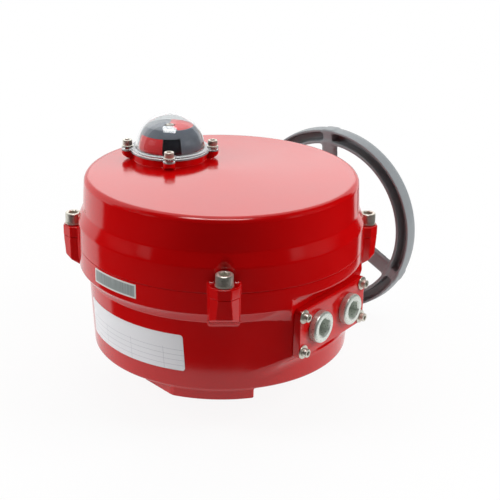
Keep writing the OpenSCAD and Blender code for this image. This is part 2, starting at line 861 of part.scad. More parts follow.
// Channel-section rim, open toward the housing, with three ribbed spokes and a hub
module handwheel() {
    wall = 3.6;
    low = rim_y - rim_d / 2;
    high = rim_y + rim_d / 2;
    color(cast_grey) on_worm_axis() difference() {
        union() {
            rotate_extrude() polygon(concat(
                [[rim_r - rim_w, low]], [[rim_r - rim_w + wall, low], [rim_r - rim_w + wall, high - wall],
                [rim_r - wall, high - wall], [rim_r - wall, low], [rim_r - 1, low]],
                [[rim_r, rim_y]],
                arc([rim_r - 7, high - 7], 7, 0, 90), arc([rim_r - rim_w + 4, high - 4], 4, 90, 180)));
            for (i = [0:2]) rotate([0, 0, -spoke_angle - 120 * i]) {
                // Flat bar with sloping edges toward the housing, and a rib behind it
                translate([10, 0, 0]) rotate([90, 0, 90]) linear_extrude(rim_r - rim_w - 9) polygon([
                    [-7.5, low + 2], [7.5, low + 2], [10.5, low + 5], [10.5, low + 7], [3, low + 7],
                    [3, high - 4], [-3, high - 4], [-3, low + 7], [-10.5, low + 7], [-10.5, low + 5]]);
                translate([rim_r - rim_w, -6, low + 1]) cube([rim_w - 1, 12, rim_d - 4]);
            }
            disc(24, hub_y0, hub_y1);
        }
        square_bar(hub_square_af + 0.2, hub_y0 - 1, hub_y1 + 1);
    }
}

module handwheel_washer() { color(steel) on_worm_axis() ring(15, 6.1, hub_y1, hub_y1 + 2.5); }

module handwheel_nut() {
    color(steel) on_worm_axis() difference() {
        hex_bar(19, hub_y1 + 2.5, hub_y1 + 12.5);
        disc(6.1, hub_y1, hub_y1 + 20);
    }
}

base_housing();
cover();
cover_gasket();
cover_screws();
cover_washers();
indicator_dome();
dome_gasket();
dome_screws();
dome_washers();
indicator_drum();
indicator_screw();
indicator_shaft();
shaft_seal();
open_cam();
close_cam();
drive_sleeve();
worm_wheel();
wheel_key();
wheel_locknut();
lower_bush();
upper_bush();
thrust_washer();
output_seal();
stop_pins();
bearing_bridge();
bridge_screws();
worm();
worm_shaft();
worm_bearings();
spur_gear();
clutch_dog();
motor_body();
motor_end_bells();
motor_shaft();
motor_pinion();
motor_bracket();
motor_screws();
bracket_screws();
capacitor();
switch_bracket();
limit_switches();
open_plunger();
close_plunger();
terminal_strip();
conduit_gasket();
conduit_plate();
plate_screws();
plate_washers();
conduit_plugs();
plug_seals();
hand_sleeve();
sleeve_clip();
hand_bush();
hand_seal();
hand_shaft();
handwheel();
handwheel_washer();
handwheel_nut();
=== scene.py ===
"""Motorized valve actuator: castings, fasteners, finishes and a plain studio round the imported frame.

Lengths are in millimetres in the part's own frame, and become metres when a mesh is made.
"""

import itertools
import json
import math

import bmesh
import bpy
import numpy as np
from mathutils import Matrix, Vector


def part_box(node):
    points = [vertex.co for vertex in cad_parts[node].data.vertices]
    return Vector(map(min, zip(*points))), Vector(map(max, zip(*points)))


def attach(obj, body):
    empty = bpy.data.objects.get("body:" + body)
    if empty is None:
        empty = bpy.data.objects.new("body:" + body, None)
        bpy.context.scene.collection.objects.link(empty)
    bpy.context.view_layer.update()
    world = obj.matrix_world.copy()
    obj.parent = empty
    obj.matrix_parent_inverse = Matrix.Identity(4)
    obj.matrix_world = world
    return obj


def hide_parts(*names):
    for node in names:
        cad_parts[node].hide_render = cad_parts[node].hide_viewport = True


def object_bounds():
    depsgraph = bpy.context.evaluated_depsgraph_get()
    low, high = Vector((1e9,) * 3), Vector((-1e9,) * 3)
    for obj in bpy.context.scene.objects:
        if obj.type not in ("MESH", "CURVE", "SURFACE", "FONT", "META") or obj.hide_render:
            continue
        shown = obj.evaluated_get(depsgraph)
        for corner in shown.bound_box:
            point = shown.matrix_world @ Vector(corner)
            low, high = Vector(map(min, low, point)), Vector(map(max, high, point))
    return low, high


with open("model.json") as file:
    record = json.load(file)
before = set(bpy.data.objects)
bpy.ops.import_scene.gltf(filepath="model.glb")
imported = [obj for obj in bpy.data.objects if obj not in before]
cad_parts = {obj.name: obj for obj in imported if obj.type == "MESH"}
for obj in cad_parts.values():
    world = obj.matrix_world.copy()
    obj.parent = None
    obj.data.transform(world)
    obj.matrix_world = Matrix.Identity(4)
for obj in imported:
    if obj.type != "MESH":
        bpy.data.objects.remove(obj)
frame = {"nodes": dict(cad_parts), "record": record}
CAD_BOX = [list(corner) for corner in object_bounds()]

bl_info = {
    "name": "Valve actuator",
    "version": (1, 0, 0),
    "blender": (4, 5, 0),
    "location": "View3D > Sidebar > Actuator",
    "description": "Castings, fasteners, finishes and studio of a motorized valve actuator",
    "category": "Object",
}

MM = 0.001


def srgb(text):
    """Linear colour of an sRGB hex value."""
    channels = [int(text[i:i + 2], 16) / 255 for i in (1, 3, 5)]
    return tuple(c / 12.92 if c <= 0.04045 else ((c + 0.055) / 1.055) ** 2.4 for c in channels)


def box_mm(node):
    """Lowest and highest corner of a CAD node in millimetres."""
    low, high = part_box(node)
    return np.array(low) / MM, np.array(high) / MM


# Places read from the frame
gasket_low, gasket_high = box_mm("cover_gasket")
cover_low, cover_high = box_mm("cover")
dome_low, dome_high = box_mm("indicator_dome")
drum_low, drum_high = box_mm("indicator_drum")
rim_low, rim_high = box_mm("handwheel")
plate_low, plate_high = box_mm("conduit_plate")

HOUSING_X = (gasket_low[0] + gasket_high[0]) / 2
BAND_R = (gasket_high[0] - gasket_low[0]) / 2 + 0.8
BASE_TOP = gasket_low[2]
COVER_FOOT = gasket_high[2]
DOME_SEAT = cover_high[2]
COVER_TOP = DOME_SEAT - 7
DOME_FOOT = dome_low[2]
DOME_Z = DOME_SEAT + 4
DOME_R = dome_high[2] - DOME_Z
WHEEL_X = (rim_low[0] + rim_high[0]) / 2
WHEEL_Z = (rim_low[2] + rim_high[2]) / 2
RIM_R = (rim_high[0] - rim_low[0]) / 2
HUB_END = rim_high[1]
RIM_END = HUB_END - 2
RIM_START = RIM_END - 20
PLATE_BACK = plate_low[0]
PLATE_FACE = plate_high[0]
FLAT_X = box_mm("conduit_gasket")[0][0]
PLATE_SEAT = box_mm("conduit_gasket")[1][0]
ENTRY_Z = (plate_low[2] + plate_high[2]) / 2

# Sizes of the castings
EAR_ANGLES = (-145, -51, 43, 137)
DOME_ANGLES = (-141, -51, 39, 129)
BOLT_ANGLES = (-135, -45, 45, 135)
SPOKE_ANGLES = (93, -27, 213)
RIM_W = 17.5
EAR_SCREW_R = 154
EAR_OUT = 164
EAR_HALF = 14.5
EAR_CHAMFER = 8.2
EAR_TOP = COVER_FOOT + 10.6
SEAM = BASE_TOP + 0.3
BODY_FOOT = 10.5
FLOOR = 24
LEDGE = 86
BAND_FOOT = 98
WALL_TOP_R = 137.5
WALL_FOOT_R = 133.6
CAVITY_R = 126
PAD_R = 62.5
FOOT_R = 132.2
BOSS_END = 176
BOLT_R = 51
DOME_SCREW_R = 44.5
LUG_R = 6.2
DOME_WALL = 1.6
ENTRY_Y = 26.5
PLATE_SCREW_Y = 52
PLATE_SCREW_Z = 18.6
PLATE_LIP = 1.6
FAR_IN = -99
STEM_BORE_R = 26
STEM_SEAL_R = 28
BUSH_TOWER_R = 46
BOLT_HOLE_R = 4.25
EAR_HOLE_R = 5.1
EAR_SPOT_R = 11
HAND_BUSH_R = 22
HAND_SEAL_R = 24
WORM_BORE_R = 16
SADDLE_R = 21
SADDLE_Y = 51
POST_SPOTS = ((0, 72), (-40, 48))
POST_R = 8
ENTRY_ROOT = 160
ENTRY_BORE_R = 16
POCKET_HALF = 62
POCKET_Z = (36, 107)
GROOVE_IN = 6.4
GROOVE_HALF = 5.7
LIP_R = 130.5
DOME_WELL_R = 32
DOME_HOLE_R = 3.1
FLANGE_R = 41
GATE_R = 2.2
SHAFT_BOSS_R = 20
SHAFT_BORE_R = 12
SPOKE_HALF = 10.5
SPOKE_BACK_HALF = 7.5
RIB_HALF = 3
BRIDGE_HALF = 6
HUB_R = 24
HUB_LENGTH = 26
SQUARE_HALF = 6.6

# Slopes of the castings, each a line from one place to another
EAR_DRAFT = ((EAR_OUT, BASE_TOP), (EAR_OUT - 2.2, 97))
EAR_UNDERSIDE = ((EAR_OUT, 99.4), (139, 85))
LUG_UNDERSIDE = ((DOME_SCREW_R + LUG_R, DOME_SEAT - 4), (42, COVER_TOP - 1.5))
ENTRY_SIDE = ((182, 70), (202.4, 58))
ENTRY_ROOF = ((182, 107), (202.4, 95))
ENTRY_UNDERSIDE = ((182, -34), (202.4, -44))
HAND_BOSS_SIDE = ((118, 36), (BOSS_END, 31))

# Cap screws: head radius, head height, shank radius, shank length, socket across flats
EAR_SCREW = (8.4, 10.4, 5, 28, 9.2)
DOME_SCREW = (5, 6, 3, 9.5, 5)
PLATE_SCREW = (4.25, 5, 2.5, 18, 4)

# Washers: outer radius, inner radius, thickness
EAR_WASHER = (8.9, 5.2, 1.6)
DOME_WASHER = (5.8, 3.2, 1.2)
PLATE_WASHER = (6.9, 2.7, 1.3)

# Conduit plugs: collar, its rolled edge, socket across flats, thread's root, crest and pitch
PLUG_R = 16
PLUG_ROLL = 2.2
PLUG_TOP = 6.8
PLUG_SOCKET = 16.8
PLUG_THREAD = (11.6, 12.5, 1.5)

# Labels: angle of the left edge, width, height of the foot, height, corner radius
NAMEPLATE = (-125, 137, 30.5, 39, 3)
TAG = (-108.7, 60, 103.2, 14.5, 0.8)


# Distance fields: negative inside the metal

def join(a, b, fillet):
    """Union of two solids with a rounded inside corner."""
    inside = np.hypot(np.maximum(fillet - a, 0), np.maximum(fillet - b, 0))
    return np.maximum(fillet, np.minimum(a, b)) - inside


def meet(a, b, edge):
    """Common part of two solids with a rounded edge."""
    outside = np.hypot(np.maximum(edge + a, 0), np.maximum(edge + b, 0))
    return np.minimum(-edge, np.maximum(a, b)) + outside


def carve(a, b, edge):
    """First solid less the second, with a rounded edge."""
    return meet(a, -b, edge)


def span(along, low, high):
    return np.maximum(low - along, along - high)


def rod(across, along, radius, low, high, edge=0.6):
    """Round bar with rounded ends, from its distance to an axis and its place along it."""
    return meet(across - radius, span(along, low, high), edge)


def outline(corners, steps=6):
    """Closed outline from (x, y, fillet) corners, each fillet an arc."""
    points = []
    count = len(corners)
    for i, (x, y, fillet) in enumerate(corners):
        corner = np.array([x, y], float)
        if not fillet:
            points.append(corner)
            continue
        to_last = np.array(corners[i - 1][:2], float) - corner
        to_next = np.array(corners[(i + 1) % count][:2], float) - corner
        to_last /= np.linalg.norm(to_last)
        to_next /= np.linalg.norm(to_next)
        half = math.acos(np.clip(to_last @ to_next, -1, 1)) / 2
        bisector = (to_last + to_next) / np.linalg.norm(to_last + to_next)
        centre = corner + bisector * fillet / math.sin(half)
        start = corner + to_last * fillet / math.tan(half) - centre
        end = corner + to_next * fillet / math.tan(half) - centre
        first = math.atan2(start[1], start[0])
        sweep = (math.atan2(end[1], end[0]) - first + math.pi) % (2 * math.pi) - math.pi
        for k in range(steps + 1):
            angle = first + sweep * k / steps
            points.append(centre + fillet * np.array([math.cos(angle), math.sin(angle)]))
    return points


def flat_distance(points, x, y):
    """Signed distance in a plane to a closed outline."""
    nearest = np.full(x.shape, np.inf)
    inside = np.zeros(x.shape, bool)
    for (ax, ay), (bx, by) in zip(points, points[1:] + points[:1]):
        ex, ey = bx - ax, by - ay
        wx, wy = x - ax, y - ay
        t = np.clip((wx * ex + wy * ey) / (ex * ex + ey * ey), 0, 1)
        nearest = np.minimum(nearest, (wx - t * ex) ** 2 + (wy - t * ey) ** 2)
        crossed = (ay > y) != (by > y)
        inside ^= crossed & ((ex * wy - ey * wx > 0) == (by > ay))
    return np.where(inside, -1, 1) * np.sqrt(nearest)


def slope_plane(u, v, start, end):
    """Distance to the line from start to end, positive on its left."""
    run, rise = end[0] - start[0], end[1] - start[1]
    return ((v - start[1]) * run - (u - start[0]) * rise) / math.hypot(run, rise)


def toward(x, y, angles):
    """Place along and across the nearest of several directions in a plane."""
    turn = np.arctan2(y, x)
    radius = np.hypot(x, y)
    away = np.stack([turn - math.radians(a) for a in angles])
    away -= 2 * math.pi * np.round(away / (2 * math.pi))
    nearest = np.take_along_axis(away, np.abs(away).argmin(0)[None], 0)[0]
    return radius * np.cos(nearest), radius * np.sin(nearest)


BASE_OUTSIDE = outline([(FAR_IN, BODY_FOOT, 0), (WALL_FOOT_R, BODY_FOOT, 3), (WALL_TOP_R, LEDGE, 2.5),
                        (BAND_R, BAND_FOOT, 2.2), (BAND_R, BASE_TOP, 0.35), (FAR_IN, BASE_TOP, 0)])
BASE_CAVITY = outline([(FAR_IN, FLOOR, 0), (CAVITY_R, FLOOR, 6), (CAVITY_R, BAND_FOOT, 3),
                       (CAVITY_R + 8, BAND_FOOT + 8, 3), (CAVITY_R + 8, 130, 0), (FAR_IN, 130, 0)])
EAR_PLAN = [(110, 1, 0), (EAR_OUT - EAR_CHAMFER, 1, 2), (EAR_OUT, EAR_CHAMFER, 2)]
FOOT_PLAN = outline([(83, -63.7, 3), (112, -86, 0), (112, -120, 0), (60, -140, 0), (39, -126.5, 3),
                     (-6, -117.5, 3), (-6, -100, 3), (60, -92, 3)])
COVER_OUTSIDE = outline([(FAR_IN, SEAM, 0), (BAND_R, SEAM, 0.35), (BAND_R, COVER_FOOT + 24.6, 7),
                         (141.5, COVER_FOOT + 37.6, 6), (139.6, COVER_TOP - 2.5, 6.5),
                         (FAR_IN, COVER_TOP + 1.7, 0)])
COVER_INSIDE = outline([(FAR_IN, 105, 0), (127.5, 105, 0), (127.5, COVER_FOOT + 8.6, 3),
                        (134, COVER_FOOT + 17.6, 3), (133, COVER_TOP - 7, 7), (FAR_IN, COVER_TOP - 7, 0)])
INDICATOR_BOSS = outline([(FAR_IN, COVER_TOP - 4, 0), (38.8, COVER_TOP - 4, 0), (38.5, DOME_SEAT, 1.2),
                          (FAR_IN, DOME_SEAT, 0)])
RIM_SECTION = outline([(RIM_R - RIM_W, RIM_START, 1.6), (RIM_R - 13.9, RIM_START, 1.4),
                       (RIM_R - 13.9, RIM_END - 3.6, 2.4), (RIM_R - 3.6, RIM_END - 3.6, 2.4),
                       (RIM_R - 3.6, RIM_START, 1.0), (RIM_R - 1, RIM_START, 1.0),
                       (RIM_R, RIM_START + 10, 3), (RIM_R, RIM_END, 7), (RIM_R - RIM_W, RIM_END, 4)])


def ear_plan(half):
    """Plan of one closing ear that points along +x, with chamfered corners."""
    near_side = [(x, y - half if y > 1 else -half, fillet) for x, y, fillet in EAR_PLAN]
    far_side = [(x, -y, fillet) for x, y, fillet in reversed(near_side)]
    return outline(near_side + far_side)


BASE_EAR = ear_plan(EAR_HALF - 0.4)
COVER_EAR = ear_plan(EAR_HALF)


def base_field(p):
    """Lower casting: drafted wall, ledge, ears, conduit boss, mounting pad, feet, hand boss and cavity."""
    x, y, z = p.T
    hx = x - HOUSING_X
    r = np.hypot(hx, y)
    metal = flat_distance(BASE_OUTSIDE, r, z)
    u, v = toward(hx, y, EAR_ANGLES)
    ear = meet(flat_distance(BASE_EAR, u, v), span(z, 60, BASE_TOP), 0.4)
    ear = meet(ear, slope_plane(u, z, *EAR_DRAFT), 0.4)
    ear = meet(ear, slope_plane(u, z, *EAR_UNDERSIDE), 2)
    metal = join(metal, ear, 2.5)
    drafted = meet(x - FLAT_X, slope_plane(x, np.abs(y), *ENTRY_SIDE), 2)
    drafted = meet(drafted, slope_plane(x, z, *ENTRY_ROOF), 2)
    drafted = meet(drafted, slope_plane(x, -z, *ENTRY_UNDERSIDE), 2)
    metal = join(metal, meet(drafted, ENTRY_ROOT - x, 1), 12)
    along = np.hypot(x - WHEEL_X, z - WHEEL_Z)
    boss = meet(slope_plane(y, along, *HAND_BOSS_SIDE), span(y, 90, BOSS_END), 2)
    metal = join(metal, boss, 6)
    out = np.hypot(x, y)
    foot = meet(flat_distance(FOOT_PLAN, hx, -np.abs(y)), r - FOOT_R, 1.6)
    underside = join(rod(out, z, PAD_R, 0, 20, 1.2), meet(foot, span(z, 0, 16), 0.9), 2)
    metal = join(metal, underside, 1.5)
    metal = carve(metal, flat_distance(BASE_CAVITY, r, z), 0.8)
    metal = join(metal, rod(out, z, BUSH_TOWER_R, 14, 50), 3)
    for px, py in POST_SPOTS:
        metal = join(metal, rod(np.hypot(x - px, np.abs(y) - py), z, POST_R, 20, 95), 3)
    saddle = np.where(z > WHEEL_Z, along - SADDLE_R, np.abs(x - WHEEL_X) - SADDLE_R)
    saddle = meet(saddle, span(z, 20, 120), 0.6)
    metal = join(metal, meet(saddle, np.abs(np.abs(y) - SADDLE_Y) - 7, 0.6), 2)
    pocket = meet(meet(FLAT_X - x, np.abs(y) - POCKET_HALF, 2), span(z, *POCKET_Z), 2)
    metal = carve(metal, pocket, 1.2)
    metal = carve(metal, rod(out, z, STEM_BORE_R, -5, 60), 0.6)
    metal = carve(metal, rod(out, z, STEM_SEAL_R, -5, BODY_FOOT), 0.8)
    bu, bv = toward(x, y, BOLT_ANGLES)
    metal = carve(metal, rod(np.hypot(bu - BOLT_R, bv), z, BOLT_HOLE_R, -5, 18), 0.8)
    metal = carve(metal, rod(np.hypot(u - EAR_SCREW_R, v), z, EAR_HOLE_R, 101, 130), 0.6)
    metal = carve(metal, meet(along - WORM_BORE_R, np.abs(y) - POCKET_HALF, 0.6), 0.6)
    metal = carve(metal, rod(along, y, HAND_BUSH_R, 112, 180), 0.8)
    metal = carve(metal, rod(along, y, HAND_SEAL_R, 168, 185), 0.8)
    entry = np.hypot(np.abs(y) - ENTRY_Y, z - ENTRY_Z)
    return carve(metal, rod(entry, x, ENTRY_BORE_R, 169, 215), 0.8)


def cover_field(p):
    """Upper casting: flared band, ears, rounded shoulder and the seat of the dome."""
    x, y, z = p.T
    hx = x - HOUSING_X
    r = np.hypot(hx, y)
    out = np.hypot(x, y)
    metal = flat_distance(COVER_OUTSIDE, r, z)
    u, v = toward(hx, y, EAR_ANGLES)
    ear = meet(meet(flat_distance(COVER_EAR, u, v), z - EAR_TOP, 0.9), SEAM - z, 0.4)
    metal = join(metal, ear, 2.5)
    groove = meet(np.abs(r - BAND_R + GROOVE_IN) - GROOVE_HALF, span(z, 100, COVER_FOOT), 0.1)
    metal = carve(metal, groove, 0.2)
    lip = meet(np.abs(r - LIP_R) - 3, span(z, cover_low[2], COVER_FOOT + 4), 0.8)
    metal = np.minimum(metal, lip)
    metal = carve(metal, flat_distance(COVER_INSIDE, r, z), 0.8)
    lu, lv = toward(x, y, DOME_ANGLES)
    screw = np.hypot(lu - DOME_SCREW_R, lv)
    lug = rod(screw, z, LUG_R, COVER_TOP - 12, DOME_SEAT, 0.8)
    lug = meet(lug, slope_plane(lu, z, *LUG_UNDERSIDE), 1.5)
    boss = join(flat_distance(INDICATOR_BOSS, out, z), lug, 2)
    metal = join(metal, boss, 1)
    metal = join(metal, rod(out, z, SHAFT_BOSS_R, COVER_TOP - 14, COVER_TOP - 2), 2)
    metal = carve(metal, rod(out, z, DOME_WELL_R, COVER_TOP - 1, DOME_SEAT + 9), 0.8)
    metal = carve(metal, rod(out, z, SHAFT_BORE_R, 160, DOME_SEAT), 0.8)
    metal = carve(metal, rod(screw, z, DOME_HOLE_R, DOME_SEAT - 4.6, DOME_SEAT + 9), 0.5)
    screw = np.hypot(u - EAR_SCREW_R, v)
    metal = carve(metal, rod(screw, z, EAR_HOLE_R, 100, EAR_TOP + 9), 0.5)
    return carve(metal, rod(screw, z, EAR_SPOT_R, EAR_TOP, EAR_TOP + 30, 2), 1.5)


def handwheel_field(p):
    """Cast handwheel: channel rim open toward the housing, three ribbed spokes and a hub."""
    x, y, z = p.T
    wx, wz = x - WHEEL_X, z - WHEEL_Z
    r = np.hypot(wx, wz)
    metal = flat_distance(RIM_SECTION, r, y)
    u, v = toward(wx, wz, SPOKE_ANGLES)
    side = np.abs(v)
    reach = span(u, 0, RIM_R - RIM_W + 2)
    edge = meet(side - SPOKE_HALF, (side - SPOKE_BACK_HALF - (y - RIM_START - 2)) / math.sqrt(2), 1)
    bar = meet(meet(edge, span(y, RIM_START + 2, RIM_START + 7), 1), reach, 0.5)
    rib = meet(meet(side - RIB_HALF, span(y, RIM_START + 4, RIM_END - 4), 1.2), reach, 0.5)
    bridge = meet(side - BRIDGE_HALF, span(u, RIM_R - RIM_W, RIM_R - 1), 1)
    bridge = meet(bridge, span(y, RIM_START + 1, RIM_END - 3), 1)
    metal = join(metal, join(join(bar, rib, 2), bridge, 1.5), 4)
    metal = join(metal, rod(r, y, HUB_R, HUB_END - HUB_LENGTH, HUB_END, 2), 4)
    square = np.maximum(np.abs(wx), np.abs(wz)) - SQUARE_HALF
    return carve(metal, square, 0.6)


def dome_field(p):
    """Clear dome: hollow half sphere on a flange with four screw lugs, and the mark of its gate on top."""
    x, y, z = p.T
    out = np.hypot(x, y)
    ball = np.hypot(out, z - DOME_Z) - DOME_R
    outside = meet(ball, DOME_Z - 1 - z, 0.3)
    lu, lv = toward(x, y, DOME_ANGLES)
    flange = join(out - FLANGE_R, np.hypot(lu - DOME_SCREW_R, lv) - LUG_R, 2.5)
    flange = meet(flange, span(z, DOME_FOOT, DOME_Z), 0.5)
    outside = join(outside, flange, 2)
    outside = join(outside, rod(out, z, GATE_R, DOME_Z + 20, DOME_Z + DOME_R + 0.3, 0.4), 1.6)
    hollow = np.where(z > DOME_Z, np.hypot(out, z - DOME_Z), out) - DOME_R + DOME_WALL
    clear = carve(outside, hollow, 0.5)
    return carve(clear, np.hypot(lu - DOME_SCREW_R, lv) - DOME_HOLE_R, 0.3)


# Meshing of the fields

BLOCK = 4
NEAR = 5.0
STEP = 0.04
BATCH = 100000
DOME_TRIANGLES = 30000
WHEEL_TRIANGLES = 60000
UPRIGHT = (Vector((1, 0, 0)), Vector((0, 1, 0)), Vector((0, 0, 1)))
TOWARD_Y = (Vector((1, 0, 0)), Vector((0, 0, 1)), Vector((0, 1, 0)))


def stations(low, high, coarse, *fine):
    """Grid places at a coarse step, and at a finer step inside (from, to, step) stretches."""
    cuts = sorted({low, high, *[c for a, b, step in fine for c in (a, b)]})
    places = []
    for a, b in zip(cuts, cuts[1:]):
        step = min([coarse] + [s for f, t, s in fine if f <= a and b <= t])
        count = max(1, math.ceil((b - a) / step))
        places += [a + (b - a) * i / count for i in range(count)]
    return np.array(places + [high])


def evaluate(field, points):
    flat = points.reshape(-1, 3)
    parts = np.array_split(flat, max(1, len(flat) // BATCH))
    return np.concatenate([field(part) for part in parts]).reshape(points.shape[:-1])


def sample(field, grid):
    """Field on a grid. Blocks that lie well away from the surface take their middle's value."""
    shape = grid.shape[:3]
    starts = [np.arange(0, n, BLOCK) for n in shape]
    middle = grid[np.ix_(*[np.minimum(s + BLOCK // 2, n - 1) for s, n in zip(starts, shape)])]
    reach = 0
    for side in itertools.product((0, BLOCK), repeat=3):
        corner = grid[np.ix_(*[np.minimum(s + d, n - 1) for s, d, n in zip(starts, side, shape)])]
        reach = np.maximum(reach, np.linalg.norm(corner - middle, axis=-1))
    at_middle = evaluate(field, middle)
    spread = np.ix_(*[np.arange(n) // BLOCK for n in shape])
    value = at_middle[spread]
    close = (np.abs(at_middle) < reach + NEAR)[spread]
    value[close] = evaluate(field, grid[close])
    return value


def net(value, grid):
    """Vertices and outward quads of the surface where values change sign.

    The grid's first direction closes on itself. Each cell that the surface passes gets one vertex, in the
    middle of the crossings on its edges. Each grid edge with a crossing gets one quad, between the four
    cells round it.
    """
    turns = value.shape[0]
    value = np.concatenate([value, value[:1]])
    grid = np.concatenate([grid, grid[:1]])
    inside = value < 0
    corners = list(itertools.product((0, 1), repeat=3))
    cells = tuple(n - 1 for n in value.shape)
    window = [inside[i:i + cells[0], j:j + cells[1], k:k + cells[2]] for i, j, k in corners]
    filled = np.sum(window, axis=0)
    active = (filled > 0) & (filled < 8)
    index = np.full(cells, -1)
    index[active] = np.arange(active.sum())
    cell = np.argwhere(active)
    at = [tuple((cell + c).T) for c in corners]
    values = np.stack([value[a] for a in at], 1)
    places = np.stack([grid[a] for a in at], 1)
    total = np.zeros((len(cell), 3))
    crossings = np.zeros(len(cell))
    for a, b in itertools.combinations(range(8), 2):
        if sum(abs(m - n) for m, n in zip(corners[a], corners[b])) != 1:
            continue
        cut = (values[:, a] < 0) != (values[:, b] < 0)
        share = values[cut, a] / (values[cut, a] - values[cut, b])
        total[cut] += places[cut, a] + share[:, None] * (places[cut, b] - places[cut, a])
        crossings[cut] += 1
    quads = []
    for way, others, turned_in in ((0, (1, 2), True), (1, (0, 2), False), (2, (0, 1), True)):
        low = inside[:turns]
        high = inside[1:] if way == 0 else low[(slice(None),) * way + (slice(1, None),)]
        low = low if way == 0 else low[(slice(None),) * way + (slice(-1),)]
        node = np.argwhere(low != high)
        for d in others:
            if d:
                node = node[(node[:, d] > 0) & (node[:, d] < cells[d])]
        ring = []
        for back in ((1, 1), (0, 1), (0, 0), (1, 0)):
            step = node.copy()
            for d, shift in zip(others, back):
                step[:, d] -= shift
            step[:, 0] %= turns
            ring.append(index[tuple(step.T)])
        quad = np.stack(ring, 1)
        wrong = low[tuple(node.T)] == turned_in
        quad[wrong] = quad[wrong][:, ::-1]
        quads.append(quad)
    return total / crossings[:, None], np.concatenate(quads)


def gradient(field, points):
    """Slope of a field, as outward normals that aren't yet of unit length."""
    slopes = []
    for axis in np.eye(3) * STEP:
        slopes.append((evaluate(field, points + axis) - evaluate(field, points - axis)) / (2 * STEP))
    return np.stack(slopes, -1)


def settle(field, points, rounds):
    """Points drawn onto the field's surface."""
    for _ in range(rounds):
        slope = gradient(field, points)
        steep = np.maximum((slope ** 2).sum(1), 0.2)
        move = np.clip(evaluate(field, points) / steep, -1, 1)
        points = points - slope * move[:, None]
    return points


def unit(vectors):
    return vectors / np.maximum(np.linalg.norm(vectors, axis=1), 1e-9)[:, None]


def vertex_places(mesh):
    places = np.empty(len(mesh.vertices) * 3)
    mesh.vertices.foreach_get("co", places)
    return places.reshape(-1, 3)


def cast(name, field, origin, axes, turns, radii, heights, triangles):
    """Closed casting mesh of a field, sampled on rings about an axis and thinned where it is flat."""
    turn, radius, height = np.meshgrid(np.radians(turns), radii, heights, indexing="ij")
    across, up, along = [np.array(a) for a in axes]
    grid = np.array(origin) + (radius * np.cos(turn))[..., None] * across
    grid = grid + (radius * np.sin(turn))[..., None] * up + height[..., None] * along
    vertices, quads = net(sample(field, grid), grid)
    if np.cross(across, up) @ along < 0:
        quads = quads[:, ::-1]
    vertices = settle(field, vertices, 1)
    mesh = bpy.data.meshes.new(name)
    mesh.from_pydata(vertices * MM, [], quads.tolist())
    shape = bmesh.new()
    shape.from_mesh(mesh)
    bmesh.ops.remove_doubles(shape, verts=shape.verts, dist=1e-7)
    bmesh.ops.holes_fill(shape, edges=[e for e in shape.edges if e.is_boundary], sides=0)
    bmesh.ops.poke(shape, faces=[f for f in shape.faces if len(f.verts) > 4])
    bmesh.ops.triangulate(shape, faces=shape.faces)
    before = len(shape.faces)
    shape.to_mesh(mesh)
    shape.free()
    rough = bpy.data.objects.new(name + "_rough", mesh)
    bpy.context.scene.collection.objects.link(rough)
    thin = rough.modifiers.new("Thin", "DECIMATE")
    thin.ratio = min(1, triangles / before)
    mesh = evaluated_mesh(rough, name)
    places = settle(field, vertex_places(mesh) / MM, 3)
    mesh.vertices.foreach_set("co", (places * MM).ravel())
    mesh.update()
    mesh.shade_smooth()
    mesh.normals_split_custom_set_from_vertices(unit(gradient(field, places)))
    return mesh


def evaluated_mesh(rough, name):
    """Plain mesh of an object with its modifiers applied. The object is removed."""
    depsgraph = bpy.context.evaluated_depsgraph_get()
    mesh = bpy.data.meshes.new_from_object(rough.evaluated_get(depsgraph), depsgraph=depsgraph)
    old = rough.data
    bpy.data.objects.remove(rough)
    bpy.data.meshes.remove(old)
    mesh.name = name
    return mesh


def place(name, mesh, finishes, body, slot, *nodes):
    """Object of a finished mesh that rides on a body and stands for CAD nodes."""
    piece = bpy.data.objects.new(name, mesh)
    bpy.context.scene.collection.objects.link(piece)
    if not mesh.materials:
        for finish in finishes:
            mesh.materials.append(FINISHES[finish])
    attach(piece, body)
    if nodes:
        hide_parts(*nodes)
    return piece


# Turned pieces and fasteners

def ring_radius(shape, size, angle):
    """Radius of a ring at an angle: round, hexagonal across flats, or round with fine knurling."""
    if shape == "hex":
        return size / 2 / math.cos((angle + math.pi / 6) % (math.pi / 3) - math.pi / 6)
    if shape == "knurl":
        return size * (1 - 0.018 * (round(angle / math.radians(3.75)) % 2))
    return size


def turned(name, rings, closed=False, segments=96):
    """Mesh of rings (shape, size, height) about the z axis. A ring of no size is a point."""
    shape = bmesh.new()
    loops = []
    for kind, size, height in rings:
        angles = [2 * math.pi * i / segments for i in range(segments if size else 1)]
        radii = [ring_radius(kind, size, a) * MM for a in angles]
        loops.append([shape.verts.new((r * math.cos(a), r * math.sin(a), height * MM))
                      for r, a in zip(radii, angles)])
    pairs = list(zip(loops, loops[1:])) + ([(loops[-1], loops[0])] if closed else [])
    for low, high in pairs:
        for i in range(segments):
            j = (i + 1) % segments
            if len(low) == 1:
                shape.faces.new((low[0], high[j], high[i]))
            elif len(high) == 1:
                shape.faces.new((low[i], low[j], high[0]))
            else:
                shape.faces.new((low[i], low[j], high[j], high[i]))
    return smooth_mesh(name, shape, 32)


def smooth_mesh(name, shape, angle):
    """Mesh of a closed shape with faces outward, smooth except at edges sharper than an angle."""
    bmesh.ops.recalc_face_normals(shape, faces=shape.faces)
    mesh = bpy.data.meshes.new(name)
    shape.to_mesh(mesh)
    shape.free()
    mesh.shade_smooth()
    mesh.set_sharp_from_angle(angle=math.radians(angle))
    return mesh


